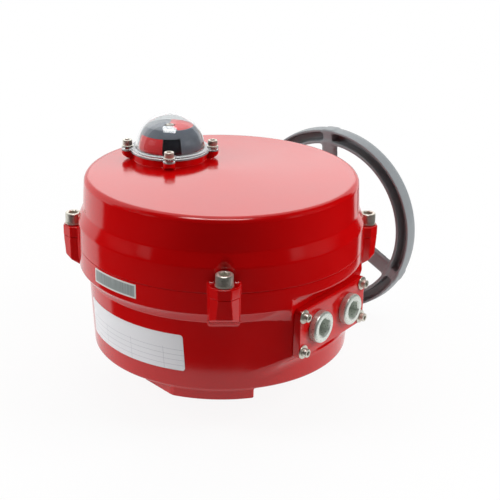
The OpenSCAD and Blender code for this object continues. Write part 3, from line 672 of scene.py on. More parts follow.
def cap_screw(name, head_r, head_h, shank_r, shank_l, socket):
    """Socket head cap screw on z = 0 with a knurled head and its shank below."""
    edge = head_h * 0.07
    floor = head_h * 0.3
    return turned(name, [
        ("round", 0, -shank_l), ("round", shank_r - 0.6, -shank_l), ("round", shank_r, -shank_l + 0.6),
        ("round", shank_r, -0.4), ("round", shank_r + 0.4, 0), ("round", head_r - edge, 0),
        ("knurl", head_r, edge), ("knurl", head_r, head_h - 2.6 * edge),
        ("round", head_r - 0.1, head_h - 2.2 * edge), ("round", head_r - 0.3 * edge, head_h - 0.9 * edge),
        ("round", head_r - edge, head_h - 0.2 * edge), ("round", head_r - 1.6 * edge, head_h),
        ("round", socket * 0.6, head_h), ("hex", socket, head_h - 0.5), ("hex", socket, floor),
        ("round", socket * 0.3, floor - 0.6), ("round", 0, floor - 0.9)])


def flat_washer(name, outer, inner, thick):
    """Stamped washer with a rolled upper edge."""
    edge = thick * 0.35
    return turned(name, [
        ("round", inner, 0.1), ("round", inner + 0.1, 0), ("round", outer - 0.2, 0), ("round", outer, 0.2),
        ("round", outer, thick - edge), ("round", outer - edge * 0.3, thick - edge * 0.3),
        ("round", outer - edge, thick), ("round", inner + 0.25, thick), ("round", inner, thick - 0.25)],
        closed=True)


def conduit_plug(name):
    """Closing plug on z = 0: threaded shank, collar with a rolled edge and a deep hexagon socket."""
    root, crest, pitch = PLUG_THREAD
    rings = [("round", 0, -14), ("round", root - 0.4, -14)]
    for k in range(8):
        rings += [("round", root, -13.4 + pitch * k), ("round", crest, -12.65 + pitch * k)]
    rings += [("round", root, -1.2), ("round", root, 0), ("round", PLUG_R - 0.5, 0),
              ("round", PLUG_R - 0.5, -0.8), ("round", PLUG_R - 0.2, -0.9), ("round", PLUG_R, -0.7),
              ("round", PLUG_R, 4.2)]
    for k in range(7):
        angle = math.radians(15 * k)
        rings.append(("round", PLUG_R - PLUG_ROLL + PLUG_ROLL * math.cos(angle),
                      PLUG_TOP - PLUG_ROLL + PLUG_ROLL * math.sin(angle)))
    rings += [("round", 10.3, PLUG_TOP), ("hex", PLUG_SOCKET, PLUG_TOP - 1.2), ("hex", PLUG_SOCKET, -3),
              ("round", 3.5, -3.8), ("round", 0, -4.6)]
    return turned(name, rings)


TURN_SEED = 7


def fastener_tree():
    """Geometry Nodes tree that stands a fastener on each point, along its axis and turned at random."""
    tree = bpy.data.node_groups.new("Fasteners", "GeometryNodeTree")
    face = tree.interface
    face.new_socket("Geometry", in_out="INPUT", socket_type="NodeSocketGeometry")
    face.new_socket("Fastener", in_out="INPUT", socket_type="NodeSocketObject")
    face.new_socket("Finish", in_out="INPUT", socket_type="NodeSocketMaterial")
    face.new_socket("Turn seed", in_out="INPUT", socket_type="NodeSocketInt").default_value = TURN_SEED
    face.new_socket("Geometry", in_out="OUTPUT", socket_type="NodeSocketGeometry")
    group = add(tree, "NodeGroupInput").outputs
    axis = add(tree, "GeometryNodeInputNamedAttribute", {"Name": "axis"}, data_type="FLOAT_VECTOR")
    stand = add(tree, "FunctionNodeAlignRotationToVector", {"Vector": axis.outputs["Attribute"]}, axis="Z")
    twist = add(tree, "FunctionNodeRandomValue", {"Seed": group["Turn seed"]}, data_type="FLOAT")
    turn = add(tree, "ShaderNodeMath", {0: twist.outputs[1], 1: 2 * math.pi}, operation="MULTIPLY")
    spin = add(tree, "FunctionNodeAxisAngleToRotation", {"Axis": (0, 0, 1), "Angle": turn.outputs[0]})
    both = add(tree, "FunctionNodeRotateRotation",
               {"Rotation": stand.outputs[0], "Rotate By": spin.outputs[0]}, rotation_space="LOCAL")
    single = add(tree, "GeometryNodeObjectInfo", {"Object": group["Fastener"]})
    row = add(tree, "GeometryNodeInstanceOnPoints", {
        "Points": group["Geometry"], "Rotation": both.outputs[0], "Instance": single.outputs["Geometry"]})
    real = add(tree, "GeometryNodeRealizeInstances", {"Geometry": row.outputs[0]})
    coated = add(tree, "GeometryNodeSetMaterial",
                 {"Geometry": real.outputs[0], "Material": group["Finish"]})
    add(tree, "NodeGroupOutput", {"Geometry": coated.outputs[0]})
    return tree


def fasten(name, pattern, spots, axis, finish, *nodes):
    """One mesh of equal fasteners of the housing that stand on spots along an axis."""
    tree = bpy.data.node_groups.get("Fasteners") or fastener_tree()
    scene = bpy.context.scene
    single = bpy.data.objects.new(name + "_single", pattern)
    scene.collection.objects.link(single)
    points = bpy.data.meshes.new(name + "_points")
    points.from_pydata([tuple(c * MM for c in spot) for spot in spots], [], [])
    stored = points.attributes.new("axis", "FLOAT_VECTOR", "POINT")
    for entry in stored.data:
        entry.vector = axis
    rough = bpy.data.objects.new(name + "_rough", points)
    scene.collection.objects.link(rough)
    modifier = rough.modifiers.new("Fasteners", "NODES")
    modifier.node_group = tree
    named = {item.name: item.identifier for item in tree.interface.items_tree if item.in_out == "INPUT"}
    modifier[named["Fastener"]] = single
    modifier[named["Finish"]] = FINISHES[finish]
    modifier[named["Turn seed"]] = TURN_SEED
    mesh = evaluated_mesh(rough, name)
    bpy.data.objects.remove(single)
    bpy.data.meshes.remove(pattern)
    return place(name, mesh, [finish], "housing", finish, *nodes)


def screw_down(spots, axis, washer, screw, washers, screws):
    """Washers on spots and cap screws on them. The last two name a piece and its CAD node."""
    name, node = washers
    fasten(name, flat_washer(name + "_shape", *washer), spots, axis, "stainless", node)
    raised = [tuple(c + washer[2] * a for c, a in zip(spot, axis)) for spot in spots]
    name, node = screws
    return fasten(name, cap_screw(name + "_shape", *screw), raised, axis, "stainless", node)


def round_spots(centre_x, radius, angles, z):
    """Places at several angles of a circle."""
    turns = [math.radians(a) for a in angles]
    return [(centre_x + radius * math.cos(t), radius * math.sin(t), z) for t in turns]


# Pieces built ring by ring

DRUM_R = (drum_high[0] - drum_low[0]) / 2
DRUM_BALL_R = DOME_R - DOME_WALL - 0.6
DRUM_PANELS = ((-91.5, "red"), (-1.5, "grey"), (88.5, "red"), (178.5, "grey"))
PANEL_HALF = 28.2
DRUM_TOP = DOME_Z + 23.2
PANEL_TOP = DOME_Z + 15.5
SLOT_DEPTH = 1.8
WELL_R = 5.5
WELL_FLOOR = DOME_Z + 20
POINTER = (-29, 127)


def drum_radius(z, inset):
    """Radius of the drum at a height, or of its slots' floor at an inset."""
    flared = DRUM_R + max(0, z - DOME_FOOT - 0.4)
    return min(flared, math.sqrt(DRUM_BALL_R ** 2 - (z - DOME_Z) ** 2)) - inset


def panel_at(angle):
    """Colour of the drum's raised panel at an angle, if there is one."""
    for middle, colour in DRUM_PANELS:
        if abs((angle - middle + 180) % 360 - 180) <= PANEL_HALF + 0.01:
            return colour
    return None


def make_drum():
    """Drum under the dome: panels between dark slots round its side, and a flat top with a red sector."""
    halves = [side * (PANEL_HALF + slot) for side in (-1, 1) for slot in (0, 1)]
    edges = {middle + half for middle, _ in DRUM_PANELS for half in halves}
    angles = sorted({a % 360 for a in edges} | {a % 360 for a in POINTER} | set(range(0, 360, 3)))
    low, top = drum_low[2], DRUM_TOP
    top_r = drum_radius(top, 0)
    # slot radius, panel radius, height, zone: 0 base, 1 side, 2 shoulder, 3 top
    rings = [(0, 0, low, 0), (DRUM_R - 2.4, DRUM_R - 0.5, low, 0)]
    for z in stations(low + 0.5, PANEL_TOP, 1.2):
        rings.append((drum_radius(z, SLOT_DEPTH), drum_radius(z, 0), z, 1))
    for z in stations(PANEL_TOP + 0.2, top - 0.6, 1.5):
        rings.append((drum_radius(z, 0), drum_radius(z, 0), z, 2))
    rings += [(top_r + 0.1, top_r + 0.1, top - 0.2, 2), (top_r - 0.5, top_r - 0.5, top, 3),
              (WELL_R + 0.4, WELL_R + 0.4, top, 3), (WELL_R, WELL_R, top - 0.4, 0),
              (WELL_R, WELL_R, WELL_FLOOR, 0), (0, 0, WELL_FLOOR, 0)]
    shape = bmesh.new()
    loops = []
    for core, raised, height, _ in rings:
        loop = []
        for angle in angles if core else [0]:
            r = (raised if panel_at(angle) else core) * MM
            turn = math.radians(angle)
            loop.append(shape.verts.new((r * math.cos(turn), r * math.sin(turn), height * MM)))
        loops.append(loop)
    count = len(angles)
    for lower, upper, start, end in zip(loops, loops[1:], rings, rings[1:]):
        for i in range(count):
            j = (i + 1) % count
            corners = [lower[k % len(lower)] for k in (i, j)] + [upper[k % len(upper)] for k in (j, i)]
            face = shape.faces.new(list(dict.fromkeys(corners)))
            panel = panel_at(angles[i]) and panel_at(angles[j])
            on_top = max(start[3], end[3]) > 1
            past = (angles[i] - POINTER[0]) % 360
            pointed = start[3] == 3 and past < POINTER[1] - POINTER[0] - 0.01
            if pointed or panel == "red" and not on_top:
                face.material_index = 1
            elif on_top or panel:
                face.material_index = 2
    return smooth_mesh("position_drum", shape, 25)


def plate_spots():
    """Places of the plate's screws as (y, z)."""
    return list(itertools.product((-PLATE_SCREW_Y, PLATE_SCREW_Y),
                                  (ENTRY_Z - PLATE_SCREW_Z, ENTRY_Z + PLATE_SCREW_Z)))


def make_plate():
    """Plate over the conduit face: round corners, rolled edges, and the holes for plugs and screws."""
    half_y = (plate_high[1] - plate_low[1]) / 2
    half_z = (plate_high[2] - plate_low[2]) / 2
    # place, radius and segments of each hole
    holes = [(y, ENTRY_Z, 12.7, 48) for y in (-ENTRY_Y, ENTRY_Y)]
    holes += [(y, z, 2.6, 24) for y, z in plate_spots()]
    roll = 1.0
    corner = 5
    rolled = []
    for k in range(4):
        angle = math.radians(30 * k)
        rolled.append((roll * (1 - math.cos(angle)), PLATE_FACE - roll + roll * math.sin(angle)))
    walls = [[]]
    for inset, x in [(PLATE_LIP, PLATE_SEAT), (PLATE_LIP, PLATE_BACK), (0, PLATE_BACK)] + rolled:
        corners = [(sy * (half_y - inset), ENTRY_Z + sz * (half_z - inset), corner - inset)
                   for sy, sz in ((-1, -1), (1, -1), (1, 1), (-1, 1))]
        walls[0].append([(x, y, z) for y, z in outline(corners, 8)])
    for y, z, radius, count in holes:
        turns = [2 * math.pi * k / count for k in range(count)]
        walls.append([])
        for inset, x in [(0, PLATE_SEAT)] + rolled:
            r = radius + inset
            walls[-1].append([(x, y + r * math.cos(t), z + r * math.sin(t)) for t in turns])
    shape = bmesh.new()
    ends = [[], []]
    for wall in walls:
        rings = [[shape.verts.new([c * MM for c in spot]) for spot in level] for level in wall]
        for low, high in zip(rings, rings[1:]):
            for a, b, c, d in zip(low, low[1:] + low[:1], high[1:] + high[:1], high):
                shape.faces.new((a, b, c, d))
        for end, ring in zip(ends, (rings[0], rings[-1])):
            end += [shape.edges.get(pair) for pair in zip(ring, ring[1:] + ring[:1])]
    for end in ends:
        bmesh.ops.triangle_fill(shape, edges=end, use_beauty=True)
    return smooth_mesh("entry_plate", shape, 28)


def make_sheet(name, radius_at, turn, width, z, height, corner):
    """Thin label laid on the round wall from an angle onward, with round corners and a UV map in metres."""
    rise = [corner * k for k in (0, 0.08, 0.25, 0.55, 1)]
    middle = [corner + (height - 2 * corner) * k / 4 for k in range(1, 4)]
    rows = rise + middle + [height - t for t in reversed(rise)]
    columns = 60
    shape = bmesh.new()
    layer = shape.loops.layers.uv.new("sheet")
    flat = {}
    sides = []
    for lift in (0.22, -0.12):
        grid = []
        for t in rows:
            short = corner - min(t, height - t, corner)
            inset = corner - math.sqrt(corner ** 2 - short ** 2)
            row = []
            for k in range(columns + 1):
                s = inset + (width - 2 * inset) * k / columns
                r = radius_at(z + t)
                angle = math.radians(turn) + s / r
                r += lift
                spot = (HOUSING_X + r * math.cos(angle), r * math.sin(angle), z + t)
                row.append(shape.verts.new([c * MM for c in spot]))
                flat[row[-1]] = (s * MM, t * MM)
            grid.append(row)
        sides.append(grid)
        for low, high in zip(grid, grid[1:]):
            for k in range(columns):
                shape.faces.new((low[k], low[k + 1], high[k + 1], high[k]))
    rims = []
    for grid in sides:
        right = [row[-1] for row in grid[1:]]
        left = [row[0] for row in grid[-2:0:-1]]
        rims.append(grid[0] + right + grid[-1][-2::-1] + left)
    front, back = rims
    for a, b, c, d in zip(front, front[1:] + front[:1], back[1:] + back[:1], back):
        shape.faces.new((a, b, c, d))
    for face in shape.faces:
        for corner_loop in face.loops:
            corner_loop[layer].uv = flat[corner_loop.vert]
    return smooth_mesh(name, shape, 40)


def wall_radius(z):
    """Radius of the drafted wall at a height."""
    return WALL_FOOT_R + (z - BODY_FOOT) * (WALL_TOP_R - WALL_FOOT_R) / (LEDGE - BODY_FOOT)


def band_radius(z):
    """Radius of the band, the same at every height."""
    return BAND_R


# Materials

def feed(tree, node, inputs):
    """Inputs of a node set to values or linked to sockets."""
    for key, value in inputs.items():
        if isinstance(value, bpy.types.NodeSocket):
            tree.links.new(value, node.inputs[key])
        else:
            node.inputs[key].default_value = value


def add(tree, kind, inputs=None, **settings):
    """Node with its settings and its inputs."""
    node = tree.nodes.new(kind)
    for key, value in settings.items():
        setattr(node, key, value)
    feed(tree, node, inputs or {})
    return node


def blank(name):
    """New material with its tree and shader."""
    material = bpy.data.materials.new(name)
    material.use_nodes = True
    tree = material.node_tree
    return material, tree, tree.nodes["Principled BSDF"]


def shade_ends(colour, shares):
    """Darker and lighter shade of a colour."""
    return [(*[min(1, c * k) for c in colour], 1) for k in shares]


def grained(name, colour, roughness, marks, depth, shares=None, spread=0, mottle=None, stretch=None,
            values=None):
    """Material with marks in relief to a depth in mm, and a mottle that varies its colour and its shine.

    marks and mottle are the size in mm and the detail of a noise. Without a mottle of its own, the marks
    vary colour and shine too. shares are the darkest and lightest shade, and spread is the share by which
    the roughness varies.
    """
    material, tree, shader = blank(name)
    place = add(tree, "ShaderNodeTexCoord").outputs["Object"]
    if stretch:
        place = add(tree, "ShaderNodeMapping", {"Vector": place, "Scale": stretch}).outputs["Vector"]
    noises = []
    for size, detail in filter(None, (marks, mottle)):
        noise = add(tree, "ShaderNodeTexNoise",
                    {"Vector": place, "Scale": 1 / (size * MM), "Detail": detail})
        noises.append(noise.outputs["Fac"])
    bump = add(tree, "ShaderNodeBump", {"Height": noises[0], "Strength": 1.0, "Distance": depth * MM})
    inputs = {"Base Color": (*colour, 1), "Roughness": roughness, "Normal": bump.outputs["Normal"]}
    if shares:
        dark, light = shade_ends(colour, shares)
        mix = add(tree, "ShaderNodeMix", {"Factor": noises[-1], "A": dark, "B": light}, data_type="RGBA")
        inputs["Base Color"] = mix.outputs["Result"]
    if spread:
        shine = add(tree, "ShaderNodeMapRange", {
            "Value": noises[-1], "From Min": 0.3, "From Max": 0.7,
            "To Min": roughness * (1 - spread), "To Max": roughness * (1 + spread)})
        inputs["Roughness"] = shine.outputs[0]
    feed(tree, shader, {**inputs, **(values or {})})
    return material


def powder_coat(name, colour, roughness, peel, depth):
    """Powder coat baked on a casting: a smooth skin with orange peel and a little cloudiness in its gloss.

    The peel is drawn somewhat coarser than life, so that it shows.
    """
    return grained(name, colour, roughness, (peel, 2.0), depth, (0.93, 1.06), 0.12, (45, 3.0))


def metal(name, colour, roughness, grain, metallic=1.0, stretch=None):
    """Bare or plated metal: a fine grain that breaks up the shine.

    The grain is drawn several times coarser than life, so that it shows.
    """
    return grained(name, colour, roughness, (grain, 4.0), 0.004, (0.86, 1.08), 0.35, stretch=stretch,
                   values={"Metallic": metallic})


def moulded(name, colour, roughness, grain, depth):
    """Moulded plastic or rubber: the fine pits that the mould leaves.

    The pits are drawn several times coarser than life, so that they show.
    """
    return grained(name, colour, roughness, (grain, 3.0), depth, (0.85, 1.12))


def clear_plastic(name, colour, roughness):
    """Clear polycarbonate: a high index that bends what is behind it, with faint flow marks."""
    return grained(name, colour, roughness, (14, 1.0), 0.01,
                   values={"IOR": 1.58, "Transmission Weight": 1.0})


def ruled_sheet(name, paper, rule, cell, line, top, stretch, streaks, metallic, roughness):
    """Polyester label: cells ruled with lines up to a height, and streaks of the backing, in cm."""
    material, tree, shader = blank(name)
    sheet = add(tree, "ShaderNodeUVMap", uv_map="sheet").outputs["UV"]
    ruled = add(tree, "ShaderNodeTexBrick", {
        "Vector": sheet, "Color1": (0, 0, 0, 1), "Color2": (0, 0, 0, 1), "Mortar": (1, 1, 1, 1),
        "Scale": 100.0, "Mortar Size": line, "Mortar Smooth": 0.3, "Brick Width": cell[0],
        "Row Height": cell[1]}, offset=0.0)
    height = add(tree, "ShaderNodeSeparateXYZ", {"Vector": sheet}).outputs["Y"]
    below = add(tree, "ShaderNodeMath", {0: height, 1: top / 100}, operation="LESS_THAN")
    lines = add(tree, "ShaderNodeMath", {0: ruled.outputs["Color"], 1: below.outputs[0]},
                operation="MULTIPLY")
    along = add(tree, "ShaderNodeMapping", {"Vector": sheet, "Scale": stretch}).outputs["Vector"]
    noise = add(tree, "ShaderNodeTexNoise", {"Vector": along, "Scale": 1 / (0.8 * MM), "Detail": 3.0})
    dark, light = shade_ends(paper, streaks)
    base = add(tree, "ShaderNodeMix", {"Factor": noise.outputs["Fac"], "A": dark, "B": light},
               data_type="RGBA")
    ink = add(tree, "ShaderNodeMix", {"Factor": lines.outputs[0], "A": base.outputs["Result"],
                                      "B": (*rule, 1)}, data_type="RGBA")
    feed(tree, shader, {"Base Color": ink.outputs["Result"], "Metallic": metallic, "Roughness": roughness})
    return material


FINISHES = {}


def make_finishes():
    """All finishes of the object, by the record's slot names where they have one."""
    colours = bpy.context.scene.actuator_colours
    FINISHES.update({
        "red_powder_coat": powder_coat("Gloss red powder coat", tuple(colours.housing), 0.14, 2.6, 0.006),
        "grey_cast_wheel": powder_coat("Grey wheel coat", tuple(colours.handwheel), 0.42, 1.8, 0.03),
        "stainless": metal("Stainless steel, cold headed", srgb("#DAD6CA"), 0.36, 0.9, 0.78),
        "zinc_plated_steel": metal("Bright zinc plate", srgb("#DCE2DA"), 0.34, 1.6, 0.6),
        "machined_steel": metal("Turned steel", srgb("#C9CBC8"), 0.3, 0.7, stretch=(1, 0.2, 1)),
        "bronze": metal("Machined bronze", srgb("#B98645"), 0.33, 0.8),
        "bare_aluminium": metal("Cast aluminium, blasted", srgb("#B4B8B9"), 0.5, 0.6),
        "clear_polycarbonate": clear_plastic("Clear polycarbonate", srgb("#EEF1F2"), 0.04),
        "black_rubber": moulded("Nitrile rubber", srgb("#1B1C1D"), 0.62, 0.5, 0.01),
        "grey_rubber": moulded("Grey silicone rubber", srgb("#8C8D90"), 0.6, 0.5, 0.01),
        "dark_plastic": moulded("Charcoal ABS", tuple(colours.drum), 0.38, 0.35, 0.006),
        "grey_plastic": moulded("Slate ABS", tuple(colours.drum_grey), 0.36, 0.35, 0.006),
        "red_plastic": moulded("Red ABS", tuple(colours.drum_panel), 0.34, 0.35, 0.006),
        "pale_plastic": moulded("Natural nylon", srgb("#DFDACB"), 0.45, 0.6, 0.006),
        "nameplate": ruled_sheet("White polyester nameplate", srgb("#E6E7EA"), srgb("#C3C4CA"),
                                 (3.85, 0.56), 0.03, 2.4, (1, 1, 1), (0.9, 1.06), 0.0, 0.4),
        "tag": ruled_sheet("Silver polyester tag", srgb("#A0A7A6"), srgb("#E4E6E2"),
                           (6.0, 1.45), 0.2, 9, (1, 0.02, 1), (0.2, 1.7), 0.2, 0.42),
    })


# Settings

class ActuatorColours(bpy.types.PropertyGroup):
    housing: bpy.props.FloatVectorProperty(
        name="Housing", description="Powder coat of both castings and the conduit plate",
        subtype="COLOR", size=3, min=0, max=1, default=srgb("#C00608"))
    handwheel: bpy.props.FloatVectorProperty(
        name="Handwheel", description="Coat of the cast handwheel",
        subtype="COLOR", size=3, min=0, max=1, default=srgb("#8B9093"))
    drum: bpy.props.FloatVectorProperty(
        name="Drum", description="Dark plastic of the position drum",
        subtype="COLOR", size=3, min=0, max=1, default=srgb("#2D2F35"))
    drum_grey: bpy.props.FloatVectorProperty(
        name="Drum grey", description="Grey panels and top of the position drum",
        subtype="COLOR", size=3, min=0, max=1, default=srgb("#747A83"))
    drum_panel: bpy.props.FloatVectorProperty(
        name="Drum panels", description="Coloured panels of the position drum",
        subtype="COLOR", size=3, min=0, max=1, default=srgb("#EC3034"))


class ActuatorSizes(bpy.types.PropertyGroup):
    casting_triangles: bpy.props.IntProperty(
        name="Casting triangles", description="Triangles kept in each of the two castings",
        default=90000, min=20000, max=180000)


# Operators

class ACTUATOR_OT_inner(bpy.types.Operator):
    """Finishes of the CAD pieces that keep their own shape"""
    bl_idname = "actuator.inner"
    bl_label = "Inner pieces"

    def execute(self, context):
        for part in frame["record"]["subparts"]:
            materials = frame["nodes"][part["node"]].data.materials
            materials.clear()
            materials.append(FINISHES[part["material_slot"]])
        frame["nodes"]["dome_gasket"].data.materials[0] = FINISHES["grey_rubber"]
        return {"FINISHED"}


def ear_turns():
    """Angles round the housing, finer at the closing ears."""
    return stations(0, 360, 1.0, *[(a % 360 - 8, a % 360 + 8, 0.5) for a in EAR_ANGLES])[:-1]


class ACTUATOR_OT_base(bpy.types.Operator):
    """Lower casting of the housing"""
    bl_idname = "actuator.base"
    bl_label = "Lower casting"

    def execute(self, context):
        radii = stations(0, 180, 2.5, (118, 168, 1.2), (145, 148, 0.5))
        heights = stations(-3, BASE_TOP + 3, 1.6, (80, BASE_TOP + 3, 1.0),
                           (BASE_TOP - 1.2, BASE_TOP + 1.2, 0.3))
        mesh = cast("base_casting", base_field, (HOUSING_X, 0, 0), UPRIGHT, ear_turns(), radii, heights,
                    context.scene.actuator_sizes.casting_triangles)
        place("base_casting", mesh, ["red_powder_coat"], "housing", "red_powder_coat", "base_housing")
        return {"FINISHED"}


class ACTUATOR_OT_cover(bpy.types.Operator):
    """Upper casting of the housing, with the screws and washers on its ears"""
    bl_idname = "actuator.cover"
    bl_label = "Upper casting"

    def execute(self, context):
        radii = stations(0, 168, 1.6, (130, 168, 1.2), (145.2, 147.6, 0.3))
        heights = stations(cover_low[2] - 2, DOME_SEAT + 2, 1.4, (COVER_TOP - 4, DOME_SEAT + 2, 0.8),
                           (BASE_TOP - 0.6, BASE_TOP + 2.4, 0.3))
        mesh = cast("cover_casting", cover_field, (HOUSING_X, 0, 0), UPRIGHT, ear_turns(), radii, heights,
                    context.scene.actuator_sizes.casting_triangles)
        place("cover_casting", mesh, ["red_powder_coat"], "housing", "red_powder_coat", "cover")
        spots = round_spots(HOUSING_X, EAR_SCREW_R, EAR_ANGLES, EAR_TOP)
        screw_down(spots, (0, 0, 1), EAR_WASHER, EAR_SCREW, ("ear_washers", "cover_washers"),
                   ("ear_screws", "cover_screws"))
        return {"FINISHED"}


class ACTUATOR_OT_dome(bpy.types.Operator):
    """Clear dome over the position drum, with its screws and washers"""
    bl_idname = "actuator.dome"
    bl_label = "Clear dome"

    def execute(self, context):
        turns = stations(0, 360, 2.0)[:-1]
        radii = stations(0, 53, 0.9)
        heights = stations(DOME_FOOT - 2, dome_high[2] + 3, 0.8)
        mesh = cast("clear_dome", dome_field, (0, 0, 0), UPRIGHT, turns, radii, heights, DOME_TRIANGLES)
        dome = place("clear_dome", mesh, ["clear_polycarbonate"], "housing", "clear_polycarbonate",
                     "indicator_dome")
        spots = round_spots(0, DOME_SCREW_R, DOME_ANGLES, DOME_Z)
        screws = screw_down(spots, (0, 0, 1), DOME_WASHER, DOME_SCREW, ("flange_washers", "dome_washers"),
                            ("flange_screws", "dome_screws"))
        # the cover's gloss mirrors only the boss
        dome.visible_glossy = False
        screws.visible_glossy = False
        return {"FINISHED"}


class ACTUATOR_OT_drum(bpy.types.Operator):
    """Position drum under the dome"""
    bl_idname = "actuator.drum"
    bl_label = "Position drum"

    def execute(self, context):
        drum = place("position_drum", make_drum(), ["dark_plastic", "red_plastic", "grey_plastic"],
                     "output_drive", "dark_plastic", "indicator_drum")
        # the cover's gloss mirrors only the boss
        for hidden in (drum, frame["nodes"]["indicator_screw"], frame["nodes"]["indicator_shaft"]):
            hidden.visible_glossy = False
        return {"FINISHED"}


class ACTUATOR_OT_handwheel(bpy.types.Operator):
    """Cast handwheel"""
    bl_idname = "actuator.handwheel"
    bl_label = "Handwheel"

    def execute(self, context):
        turns = stations(0, 360, 1.0)[:-1]
        radii = stations(0, RIM_R + 2, 1.6, (RIM_R - 22, RIM_R + 2, 0.7))
        heights = stations(HUB_END - 28, HUB_END + 2, 0.9)
        mesh = cast("handwheel_casting", handwheel_field, (WHEEL_X, 0, WHEEL_Z), TOWARD_Y, turns, radii,
                    heights, WHEEL_TRIANGLES)
        place("handwheel_casting", mesh, ["grey_cast_wheel"], "handwheel_unit", "grey_cast_wheel",
              "handwheel")
        return {"FINISHED"}


class ACTUATOR_OT_conduit(bpy.types.Operator):
    """Conduit plate with its screws, washers and plugs"""
    bl_idname = "actuator.conduit"
    bl_label = "Conduit face"

    def execute(self, context):
        place("entry_plate", make_plate(), ["red_powder_coat"], "housing", "red_powder_coat",
              "conduit_plate")
        screw_down([(PLATE_FACE, y, z) for y, z in plate_spots()], (1, 0, 0), PLATE_WASHER, PLATE_SCREW,
                   ("plate_rings", "plate_washers"), ("plate_bolts", "plate_screws"))
        spots = [(PLATE_FACE + 1, y, ENTRY_Z) for y in (-ENTRY_Y, ENTRY_Y)]
        fasten("entry_plugs", conduit_plug("entry_plug"), spots, (1, 0, 0), "zinc_plated_steel",
               "conduit_plugs")
        return {"FINISHED"}


class ACTUATOR_OT_labels(bpy.types.Operator):
    """Bare nameplate and tag on the round wall"""
    bl_idname = "actuator.labels"
    bl_label = "Labels"

    def execute(self, context):
        sheet = make_sheet("nameplate", wall_radius, *NAMEPLATE)
        place("nameplate", sheet, ["nameplate"], "housing", None)
        sheet = make_sheet("tag", band_radius, *TAG)
        place("tag", sheet, ["tag"], "housing", None)
        return {"FINISHED"}


class ACTUATOR_OT_stage(bpy.types.Operator):
    """Pale floor, soft light and the camera"""
    bl_idname = "actuator.stage"
    bl_label = "Stage"

    def execute(self, context):
        context.scene.view_settings.view_transform = "Standard"
        make_floor()
        make_flags()
        make_world(context.scene)
        make_lamps()
        make_camera(context.scene)
        return {"FINISHED"}


# Camera: angles in degrees, places in mm, focal length in frame widths
VIEW_TURN = 37.8
VIEW_DISTANCE = 1121.79
VIEW_RISE = 433.24
VIEW_PITCH = 21.77
VIEW_YAW = 1.54
VIEW_ROLL = 1.10
VIEW_FOCAL = 1152.74 / 500

# Floor, in metres: half its side, where its shadow fades and how much glow it has under the object, and
# where its bounce light fades
FLOOR_Z = CAD_BOX[0][2] - 0.001
FLOOR_HALF = 14
SHADOW_FADE = (0.2, 0.8)
SHADOW_GLOW = 0.9
BOUNCE_FADE = (0.35, 0.9)


def pale_rays(tree):
    """1 for rays from the camera, in reflections and through glass."""
    rays = add(tree, "ShaderNodeLightPath")
    seen = add(tree, "ShaderNodeMath", {0: rays.outputs["Is Camera Ray"], 1: rays.outputs["Is Glossy Ray"]},
               operation="MAXIMUM")
    return add(tree, "ShaderNodeMath", {0: seen.outputs[0], 1: rays.outputs["Is Transmission Ray"]},
               operation="MAXIMUM").outputs[0]


def make_floor():
    """White paper floor that keeps a soft shadow round the object and runs out to plain white."""
    mesh = bpy.data.meshes.new("floor")
    corners = [(x * FLOOR_HALF, y * FLOOR_HALF, FLOOR_Z) for x, y in ((-1, -1), (1, -1), (1, 1), (-1, 1))]
    mesh.from_pydata(corners, [], [(0, 1, 2, 3)])
    floor = bpy.data.objects.new("floor", mesh)
    bpy.context.scene.collection.objects.link(floor)
    material = bpy.data.materials.new("White paper floor")
    material.use_nodes = True
    tree = material.node_tree
    tree.nodes.clear()
    paper = add(tree, "ShaderNodeBsdfDiffuse", {"Color": (0.9, 0.9, 0.9, 1)}).outputs[0]
    grey = add(tree, "ShaderNodeBsdfDiffuse", {"Color": (0.2, 0.2, 0.2, 1)}).outputs[0]
    glow = add(tree, "ShaderNodeEmission", {"Color": (1, 1, 1, 1), "Strength": 1.0}).outputs[0]
    place = add(tree, "ShaderNodeTexCoord").outputs["Object"]
    away = add(tree, "ShaderNodeVectorMath", {0: place}, operation="LENGTH").outputs["Value"]
    share = add(tree, "ShaderNodeMapRange", {
        "Value": away, "From Min": SHADOW_FADE[0], "From Max": SHADOW_FADE[1], "To Min": SHADOW_GLOW,
        "To Max": 1.0}, interpolation_type="SMOOTHSTEP").outputs[0]
    lit = add(tree, "ShaderNodeMixShader", {0: share, 1: paper, 2: glow}).outputs[0]
    far = add(tree, "ShaderNodeMapRange", {
        "Value": away, "From Min": BOUNCE_FADE[0], "From Max": BOUNCE_FADE[1]},
        interpolation_type="SMOOTHSTEP").outputs[0]
    bounce = add(tree, "ShaderNodeMixShader", {0: far, 1: paper, 2: grey}).outputs[0]
    choice = add(tree, "ShaderNodeMixShader", {0: pale_rays(tree), 1: bounce, 2: lit}).outputs[0]
    add(tree, "ShaderNodeOutputMaterial", {"Surface": choice})
    mesh.materials.append(material)


# Black cloth of the set, with angles from the camera in degrees and lengths in metres
LOW_FLAGS = ((-82, 45, 0), (45, 108, 0.085))  # left, right, foot
LOW_FLAG = (0.24, 0.215)  # reach, top
TENT = (-94, 128, 1.6)  # left, right, reach
# the grey cards glow at half white instead of being lit: a painted glow, standing in for soft boxes, that
# shows only as pale patches in the gloss
CARDS = (54, 66, 20, 32)  # near and far angle on each side, low and high rise
CLOTH_STEP = 6


